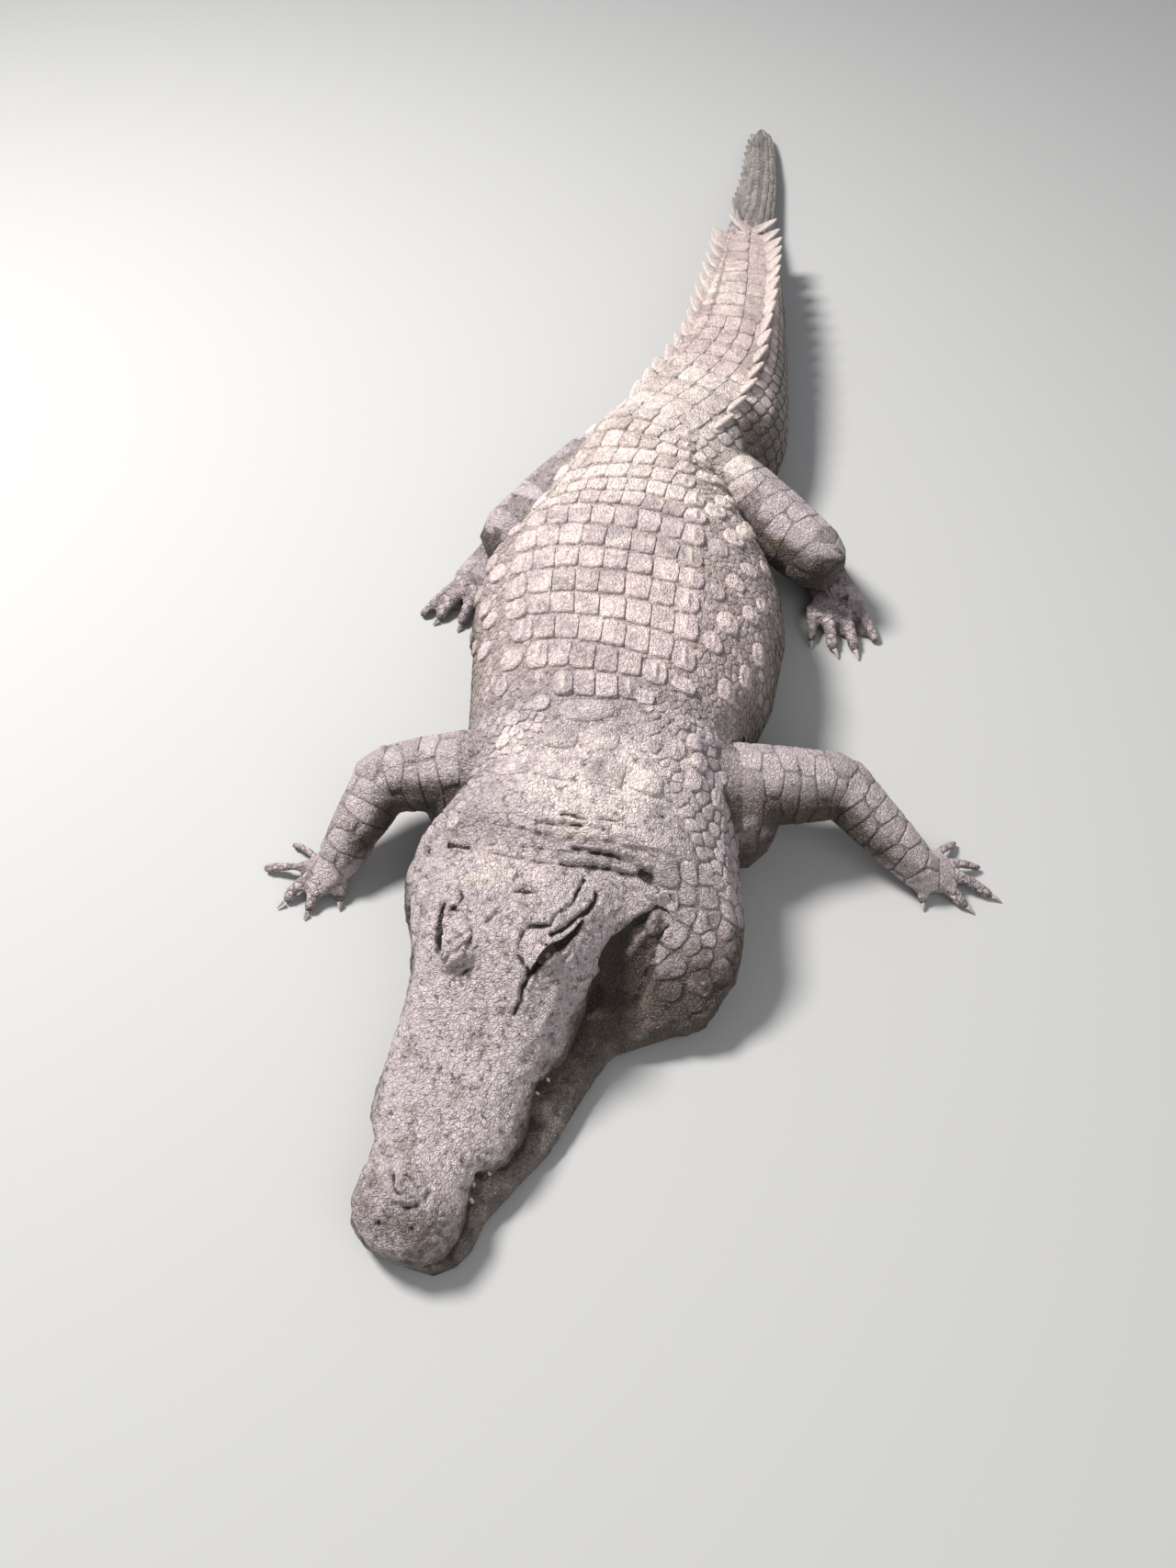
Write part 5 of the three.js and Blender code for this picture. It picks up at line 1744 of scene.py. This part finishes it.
@dataclass(frozen=True)
class HideFinish:
    """The dusty hide: colours by region, a fine grain, darkened seams and pale rims, with painted shade and
    painted glints.

    Every mesh that wears it carries two attributes. The marks are mud, darker tones with painted shade, rose
    and wet. The relief is how near a scale's rim a place is, the scale's lot, its keel or the bare skin's
    seam, whose depth is painted as shade, and whether it is a scale at all. The grain is how high the fine
    bumps stand.
    """

    name: str = "hide"
    mauve: Colour = (0.600, 0.495, 0.498)
    cream: Colour = (0.900, 0.755, 0.685)
    rose: Colour = (0.760, 0.600, 0.555)
    brown: Colour = (0.085, 0.060, 0.043)
    seam: Colour = (0.060, 0.041, 0.032)
    wet: Colour = (0.385, 0.345, 0.312)
    glint: Colour = (0.900, 0.850, 0.860)
    grime: Colour = (0.270, 0.205, 0.175)
    grain: float = 0.0052

    def build(self) -> Material:
        """Makes the material."""
        material = blank(self.name, 0.7)
        nodes = material.node_tree
        shader = nodes.nodes["Principled BSDF"]
        base = Shader(material, shader.inputs["Roughness"])
        place = base.node("ShaderNodeTexCoord", {}, {}, "Object")
        mud, dark_and_shade, rosy, wet = self._attribute(base, "marks")
        rim, lot, raised, scale = self._attribute(base, "relief")
        bare = 1 - scale
        patch = self._noise(base, place, 30.0, 5.0, 0.6)
        fine = self._noise(base, place, 130.0, 5.0, 0.65)
        speck = self._noise(base, place, 420.0, 3.0, 0.6)
        cracks = self._cracks(base, place, 150.0)
        broad = self._noise(base, place, 7.0, 4.0, 0.55)
        muddy = (mud + 1.6 * (broad - 0.5) + 0.9 * (patch - 0.5)).within(0.25, 0.75) * mud.within(0.02, 0.2)
        # Darker tones and painted shade alike, from the marks' second number, turn the colour brown.
        stain_and_shade = dark_and_shade * 1.12 + 1.6 * (patch - 0.5) + 1.4 * (fine - 0.5)
        stain_and_shade = stain_and_shade.within(0.10, 0.95) * dark_and_shade.within(0.0, 0.18)
        colour = (rosy + 1.3 * (patch - 0.5)).within(0.1, 0.9).mixed(self.mauve, self.rose)
        colour = (muddy * 0.9).mixed(colour, self.cream)
        colour = stain_and_shade.mixed(colour, self.brown)
        colour = (wet * (0.55 + 0.9 * patch)).mixed(colour, self.wet)
        drawn = base.node("ShaderNodeVectorMath", {"operation": "MULTIPLY"}, {0: place, 1: (1.0, 0.12, 1.0)})
        streak = self._noise(base, drawn, 85.0, 4.0, 0.6)
        tone = 0.98 + (lot - 0.5) * scale * 0.50 + 1.3 * (patch - 0.5) + 1.7 * (fine - 0.5)
        tone = tone + 1.1 * (speck - 0.5) + wet * (streak - 0.5) * 2.2 + 0.09 * bare
        colour = base.node("ShaderNodeHueSaturation", {}, {"Color": colour, "Value": tone}, "Color")
        blotch = self._noise(base, place, 96.0, 6.0, 0.72)
        grime = (patch + 0.8 * (blotch - 0.5)).within(0.47, 0.66) * (0.16 + 0.34 * bare)
        grime = grime + (0.5 - lot).within(0.0, 0.4) * scale * 0.42
        colour = grime.mixed(colour, self.grime)
        colour = (blotch.within(0.525, 0.63) * (0.16 + 0.50 * bare)).mixed(colour, self.seam)
        # Painted glints: pale specks, most on the bare skin and fewer where the marks are darker.
        light = speck.within(0.56, 0.70) * (1 - fine).within(0.42, 0.60)
        colour = (light * (0.18 + 0.42 * bare) * (1 - dark_and_shade * 0.7)).mixed(colour, self.glint)
        pitted = (1 - cracks.within(0.0, 0.07)) * (fine - 0.36).within(0.0, 0.3) * (0.20 + 0.30 * bare)
        colour = pitted.mixed(colour, self.seam)
        # Painted shade in the creases of the bare skin and in the gaps between scales.
        seam_shade = bare * raised * (0.66 + 0.6 * dark_and_shade + 0.5 * raised.within(0.6, 1.0))
        colour = seam_shade.mixed(colour, self.seam)
        # Painted shade along the scales' rims, stronger where the marks are darker.
        colour = (rim * scale * (0.07 + 0.6 * dark_and_shade)).mixed(colour, self.seam)
        keel = raised.within(0.3, 0.9) * scale * 0.7 * (1 - stain_and_shade * 0.6) * (1 - wet)
        colour = keel.mixed(colour, self.cream)
        nodes.links.new(colour.socket, shader.inputs["Base Color"])
        rough = 0.60 - 0.12 * wet + 0.16 * muddy - 0.22 * dark_and_shade + 0.8 * (fine - 0.5)
        nodes.links.new(rough.socket, shader.inputs["Roughness"])
        height = 0.9 * fine + 0.35 * speck + 0.30 * self._cracks(base, place, 330.0).within(0.0, 0.25)
        height = height + 0.45 * cracks.within(0.0, 0.2) + 0.8 * patch
        bump = base.node("ShaderNodeBump", {}, {"Strength": 0.9, "Distance": self.grain, "Height": height})
        nodes.links.new(bump.socket, shader.inputs["Normal"])
        return material

    def _attribute(self, base: Shader, name: str) -> list[Shader]:
        """The four numbers of a mesh's attribute."""
        colour = base.node("ShaderNodeAttribute", {"attribute_name": name}, {}, "Color")
        numbers = [base.node("ShaderNodeSeparateColor", {}, {"Color": colour}, part)
                   for part in ("Red", "Green", "Blue")]
        return numbers + [base.node("ShaderNodeAttribute", {"attribute_name": name}, {}, "Alpha")]

    def _cracks(self, base: Shader, place: Shader, scale: float) -> Shader:
        """How far places lie from the edges of small cells."""
        return base.node("ShaderNodeTexVoronoi", {"feature": "DISTANCE_TO_EDGE"},
                         {"Vector": place, "Scale": scale, "Randomness": 1.0}, "Distance")

    def _noise(self, base: Shader, place: Shader, scale: float, detail: float, rough: float) -> Shader:
        """Cloudy noise from 0 to 1."""
        return base.node("ShaderNodeTexNoise", {}, {"Vector": place, "Scale": scale, "Detail": detail,
                                                    "Roughness": rough}, "Fac")


class Region:
    """What the markings need to know of some places: where they lie on body, head and limbs."""

    def __init__(self, points: Array, head: HeadFrame) -> None:
        """Measures the places.

        Args:
            points: the places in the row frame, one in each row.
            head: the head's measures.
        """
        self.points = points
        self.x, self.y, self.z = points.T
        self.s, left = head.to_head(points)
        self.flat = np.stack([self.s, left], axis=1)
        self.cloud = fractal_noise(points, 0.11, 71)
        self.uneven = self.z + 0.014 * fractal_noise(points, 0.05, 77)
        near_limb, self.facing = limb_side(points)
        # The middle of the trunk belongs to no limb, however near its root lies.
        self.limb = ramp(near_limb, 0.085, 0.064) * (np.abs(self.x - 0.03) > 0.14)
        self.off_limb = 1 - self.limb
        self.off_head = ramp(self.s, 520, 620)


# The direction the painted light on the limbs comes from: their sides that face away get painted shade.
PAINTED_LIGHT_FROM = (0.0, 0.35, 0.93)


def limb_side(points: Array) -> tuple[Array, Array]:
    """How far places lie from the nearest limb's axis, and how much they face the painted light there."""
    nearest = np.full(len(points), 1e9)
    facing = np.zeros(len(points))
    for limb in LIMBS:
        runs = [(start, end, thick) for start, end, thick, _ in limb.runs()]
        runs += [(knuckle, tip, 0.010) for knuckle, tip in limb.digit_paths()]
        for start, end, thick in runs:
            run = end - start
            share = np.clip((points - start) @ run / (run @ run), 0, 1)
            offset = points - start - share[:, None] * run
            gap = np.linalg.norm(offset, axis=1)
            closer = gap < nearest
            nearest = np.where(closer, gap, nearest)
            facing = np.where(closer, offset @ np.array(PAINTED_LIGHT_FROM) / thick, facing)
    return nearest, facing


@dataclass
class Markings:
    """Where the hide is muddy, darker in tone and painted with shade, rosy and wet, from the place in the row
    frame alone.
    """

    head: HeadFrame

    def at(self, points: Array) -> Array:
        """Four numbers for each place: mud, darker tones with painted shade, rose and wet."""
        region = Region(points, self.head)
        y = region.y
        crown = np.interp(y, [0.3, 0.6, 0.9, 1.2, 1.4], [0.19, 0.185, 0.155, 0.115, 0.08])
        tail_flank = ramp(y, 0.36, 0.46) * ramp(region.uneven - crown, 0.0, -0.035)
        dark_and_shade = np.maximum(self._head_dark(region), self._body_dark(region, tail_flank))
        rose = 0.55 * ramp(y, -0.36, -0.26) + 0.30 * ramp(y, 0.35, 0.55) - 0.3 * ramp(y, 1.2, 1.35)
        wet = np.maximum.reduce([ramp(y, 1.24, 1.36), 0.45 * tail_flank * ramp(y, 0.44, 0.60),
                                 0.30 * ramp(region.s, 400, 200) * ramp(region.z, 0.06, 0.03)])
        marks = np.stack([self._mud(region), dark_and_shade, rose * region.off_limb, wet], axis=1)
        return np.clip(marks + 0.12 * region.cloud[:, None] * (marks > 0.02), 0, 1)

    def _mud(self, region: Region) -> Array:
        """The dried mud on nape, skull, rump and tail, and the dust on all that faces up."""
        s, y, z, uneven = region.s, region.y, region.z, region.uneven
        nape = 0.48 * ramp(y, -0.66, -0.56) * ramp(y, -0.31, -0.42) * ramp(uneven, 0.180, 0.232)
        skull = ramp(s, 400, 460) * ramp(s, 580, 520) * ramp(z, 0.17, 0.195) * 0.35
        rump = ramp(y, -0.02, 0.20) * ramp(y, 0.62, 0.46) * ramp(uneven, 0.13, 0.19)
        tail = ramp(y, 0.70, 0.82) * ramp(y, 1.06, 0.98) * ramp(z, 0.10, 0.14) * 0.45
        dusty = (0.12 + 0.24 * ramp(y, -0.36, 0.0)) * ramp(z, 0.18, 0.24) * region.off_head
        return np.maximum.reduce([nape, skull, rump, tail, dusty]) * region.off_limb

    def _head_dark(self, region: Region) -> Array:
        """Painted shade low on the head's sides, along the mouth, round the lids and in the hollow by the
        jowl, and the snout's own darker tone.
        """
        s, z, flat = region.s, region.z, region.flat
        on_head = 1 - region.off_head
        top = np.interp(s, *np.array(HEAD_TOPS).T)
        # Painted shade: low on the head's sides, along the mouth's line, in the hollow by the jowl and round
        # the eye slits.
        side = on_head * ramp(region.uneven / top, 0.80, 0.38) * region.off_limb
        mouth = np.zeros(len(s))
        near = np.flatnonzero(s < 560)
        for line in MOUTH_LINE.values():
            gap = path_distance(region.points[near], self.head.to_world(*np.array(line, float).T))
            mouth[near] = np.maximum(mouth[near], ramp(gap, 0.014, 0.004))
        bulge = ramp(path_distance(flat, np.array(BULGE, float)), 15.0, 4.0)
        hollow = within_path(flat, HOLLOW, 12.0, 3.0) * ramp(z, 0.185, 0.165) * (1 - 0.45 * bulge)
        lids = sum(within_path(flat, slit.path, 4.0, 3.5) for slit in SLITS.values()) * ramp(z, 0.11, 0.13)
        snout = 0.30 * ramp(s, 110, 40) + 0.12 * on_head * region.off_limb
        return np.maximum.reduce([side, mouth, hollow, lids, snout])

    def _body_dark(self, region: Region, tail_flank: Array) -> Array:
        """Painted shade on the body's lower sides and on the limbs where they face down, and the darker patch
        behind the left hip.

        Args:
            region: the places.
            tail_flank: how far each place belongs to the tail's sides.

        Returns:
            One value for each place.
        """
        x, y, z, uneven, off_limb = region.x, region.y, region.z, region.uneven, region.off_limb
        # Painted shade low on the sides of body, tail, trunk and neck, by height.
        low = 0.75 * ramp(uneven, 0.140, 0.060) * region.off_head * ramp(y, 1.25, 1.05) * off_limb
        tail = 0.75 * tail_flank * ramp(y, 1.65, 1.05)
        trunk = 0.85 * ramp(y, -0.42, -0.34) * ramp(y, 0.46, 0.30) * ramp(uneven, 0.225, 0.100) * off_limb
        neck = 0.8 * ramp(y, -0.68, -0.60) * ramp(y, -0.30, -0.42) * ramp(uneven, 0.165, 0.075) * off_limb
        # Painted shade on the limbs' sides that face away from the painted light, less on the paws.
        paw = ramp(z, 0.075, 0.045)
        limb = 0.08 + (0.80 - 0.56 * paw) * ramp(region.facing + 0.15 * region.cloud, 0.62, -0.05)
        hip = np.exp(-((x - 0.175) / 0.055) ** 2 - ((y - 0.42) / 0.07) ** 2) * ramp(z, 0.225, 0.19)
        return np.maximum.reduce([low, tail, trunk, neck, region.limb * limb, hip])


# ---------- light, floor and camera


@dataclass(frozen=True)
class Lamp:
    """A round soft lamp that looks at the middle of the body."""

    name: str
    place: Point
    size: float
    power: float
    target: Point = (0, -0.1, 0.1)

    def build(self) -> None:
        """Puts the lamp in the scene."""
        lamp = bpy.data.lights.new(self.name, "AREA")
        lamp.shape = "DISK"
        lamp.size = self.size
        lamp.energy = self.power
        holder = bpy.data.objects.new(self.name, lamp)
        holder.location = self.place
        toward = Vector(self.target) - Vector(self.place)
        holder.rotation_euler = toward.to_track_quat("-Z", "Y").to_euler()
        bpy.context.scene.collection.objects.link(holder)


LAMPS = (Lamp("key", (-2.5, 0.5, 3.9), 1.2, 370), Lamp("fill", (1.6, -2.2, 2.4), 3.0, 30))


@dataclass(frozen=True)
class Stage:
    """What the animal is seen on and by: the camera, a plain pale floor and the sky's light.

    The camera stands at the eye, and looks down and is turned by so many degrees.
    """

    lens: float = 28.07
    eye: Point = (0.159, -1.483, 1.55)
    down: float = 52.0
    turned: float = 9.0
    floor: Colour = (0.42, 0.41, 0.395)
    floor_half: float = 14.0
    sky: Colour = (0.75, 0.80, 0.88)
    sky_strength: float = 0.42

    def build(self) -> None:
        """Puts all of it in the scene."""
        self._build_floor()
        for lamp in LAMPS:
            lamp.build()
        self._build_sky()
        self._build_camera()

    def _build_floor(self) -> None:
        """A plain floor under the animal."""
        mesh = bpy.data.meshes.new("floor")
        shell = bmesh.new()
        bmesh.ops.create_grid(shell, x_segments=1, y_segments=1, size=self.floor_half)
        shell.to_mesh(mesh)
        shell.free()
        mesh.materials.append(blank("floor", 0.9, self.floor))
        floor = bpy.data.objects.new("floor", mesh)
        bpy.context.scene.collection.objects.link(floor)

    def _build_sky(self) -> None:
        """The even light of the sky, and plain colours in the picture."""
        world = bpy.data.worlds.new("sky")
        world.use_nodes = True
        background = world.node_tree.nodes["Background"]
        background.inputs["Color"].default_value = (*self.sky, 1)
        background.inputs["Strength"].default_value = self.sky_strength
        bpy.context.scene.world = world
        bpy.context.scene.view_settings.view_transform = "Standard"

    def _build_camera(self) -> None:
        """The camera above and before the head, looking down the back."""
        lens = bpy.data.cameras.new("camera")
        lens.lens = self.lens
        camera = bpy.data.objects.new("camera", lens)
        camera.location = self.eye
        camera.rotation_euler = (math.radians(90 - self.down), 0, math.radians(self.turned))
        bpy.context.scene.collection.objects.link(camera)
        bpy.context.scene.camera = camera


# ---------- the whole animal


# Profiles of scales, from the root inward: shares of the outline and of the height.
FINE = ((1.0, 0.0), (0.975, 0.50), (0.93, 0.88), (0.82, 1.0), (0.62, 0.93), (0.42, 0.93), (0.20, 0.97))
PLAIN = ((1.0, 0.0), (0.95, 0.70), (0.75, 1.0))
BROAD = ((1.0, 0.0), (0.96, 0.75), (0.86, 1.0), (0.64, 1.0), (0.42, 1.0), (0.20, 1.0))
FLAT = ((1.0, 0.0), (0.94, 0.85))
LOW = ((1.0, 0.0), (0.96, 0.22), (0.88, 0.55), (0.74, 0.88), (0.52, 1.0), (0.25, 1.0))


@dataclass(frozen=True)
class LimbScales:
    """The rings of scales round one limb and its digits."""

    number: int
    limb: Limb
    band: float = 0.078
    digit_radii: tuple[float, float] = (0.0115, 0.0090)

    def add_to(self, coat: Coat) -> None:
        """Shapes the scales and adds them to a coat."""
        number, limb = self.number, self.limb
        corner = (0.01 + 0.5 * (number % 2), 0.01 + 0.5 * (number // 2))
        runs = limb.runs()
        joints = np.array([runs[0][0]] + [end for _, end, _, _ in runs])
        radii = np.array([runs[0][2]] + [thick for _, _, _, thick in runs])
        chart = LimbChart(joints, radii, corner, (0.48, 0.36))
        length = 0.027 if limb.front else 0.034
        seeds = limb_seeds(chart, length, self.band, 0.0014, 70 + number, first=1.2)
        ScaleField(chart, seeds, 32, gap=0.0010, rough=0.10, seed=80 + number, highest=0.025, rings=BROAD,
                   weigh=False, root=0.0010, stretch=0.34, step=0.2, even=0.024).add_to(coat)
        for index, digit in enumerate(limb.digit_paths()):
            digit_corner = (corner[0] + 0.09 * index, corner[1] + 0.37)
            chart = LimbChart(digit, np.array(self.digit_radii), digit_corner, (0.08, 0.10))
            seeds = limb_seeds(chart, 0.0085, 0.0125, 0.0009, 90 + index, around=2.0)
            ScaleField(chart, seeds, 10, gap=0.0008, rough=0.08, seed=95 + index, highest=0.008, root=0.0008,
                       rings=PLAIN, weigh=False).add_to(coat)


def build_coat(tube: BodyTube, skin: BVHTree, markings: Markings, hide: Material) -> None:
    """Covers neck, trunk, tail and limbs with scales.

    Args:
        tube: the body's flesh.
        skin: the skin that the scales stand on.
        markings: where the hide is muddy, darker in tone and painted with shade, rosy and wet.
        hide: the hide's material.
    """

    def piece(name: str, slot: str, *parts: "ScaleField | Crest | LimbScales") -> None:
        """Makes one piece of the coat of its parts."""
        coat = Coat(skin)
        for part in parts:
            part.add_to(coat)
        coat.build(name, slot, markings, hide)

    lay = BodyScales(tube)
    piece("back_scutes", "back_hide",
          ScaleField(tube, lay.back(), 28, gap=0.0005, rough=0.42, seed=2, rings=FINE, weigh=False, step=0.34,
                     pale=0.6, joined=0.8),
          ScaleField(tube, lay.nuchals(), 28, gap=0.0030, rough=0.30, seed=3, rings=LOW, weigh=False,
                     pale=0.6))
    piece("tail_scales", "tail_hide",
          ScaleField(tube, lay.tail_top(), 24, gap=0.0004, rough=0.36, seed=5, rings=FINE, weigh=False,
                     step=0.3, pale=0.6, joined=0.85),
          ScaleField(tube, lay.tail_sides(), 12, gap=0.0012, rough=0.20, seed=6, rings=PLAIN, weigh=False))
    piece("tail_crest", "tail_hide", Crest(tube, lay))
    piece("flank_scales", "back_hide",
          ScaleField(tube, lay.flanks(True), 24, gap=0.0014, rough=0.30, seed=17, rings=FINE, even=0.014,
                     pale=1.0),
          ScaleField(tube, lay.flanks(False), 10, gap=0.0014, rough=0.20, seed=7, rings=PLAIN, pale=0.0),
          ScaleField(tube, lay.lower_flanks(), 12, gap=0.0014, rough=0.12, seed=8, rings=PLAIN))
    piece("neck_scales", "back_hide",
          ScaleField(tube, lay.neck(True), 24, gap=0.0018, rough=0.26, seed=19, rings=FINE, pale=0.9),
          ScaleField(tube, lay.neck(False), 12, gap=0.0018, rough=0.14, seed=9),
          ScaleField(tube, lay.jowls(), 12, gap=0.0020, rough=0.14, seed=10, rings=PLAIN))
    piece("belly_plates", "back_hide",
          ScaleField(tube, lay.belly(), 8, gap=0.0014, rough=0.05, seed=11, rings=FLAT, weigh=False))
    piece("limb_scales", "limb_hide", *(LimbScales(number, limb) for number, limb in enumerate(LIMBS)))


def main() -> None:
    """Builds the animal, the floor, the lights and the camera."""
    logging.basicConfig(level=logging.INFO, format="%(message)s")
    tube = BodyTube()
    head = HeadFrame()
    markings = Markings(head)
    hide = HideFinish().build()
    skin = Skin(tube, head, markings, hide).build()
    shell = bmesh.new()
    shell.from_mesh(skin.data)
    tree = BVHTree.FromBMesh(shell)
    shell.free()
    build_coat(tube, tree, markings, hide)
    eye = blank("eye_gloss", 0.10, (0.012, 0.008, 0.005))
    for side in Side:
        build_eye(side, eye)
    build_claws(blank("horn", 0.42, (0.42, 0.37, 0.32)))
    build_teeth(head, blank("tooth", 0.40, (0.44, 0.38, 0.28)))
    Stage().build()


if __name__ == "__main__":
    main()
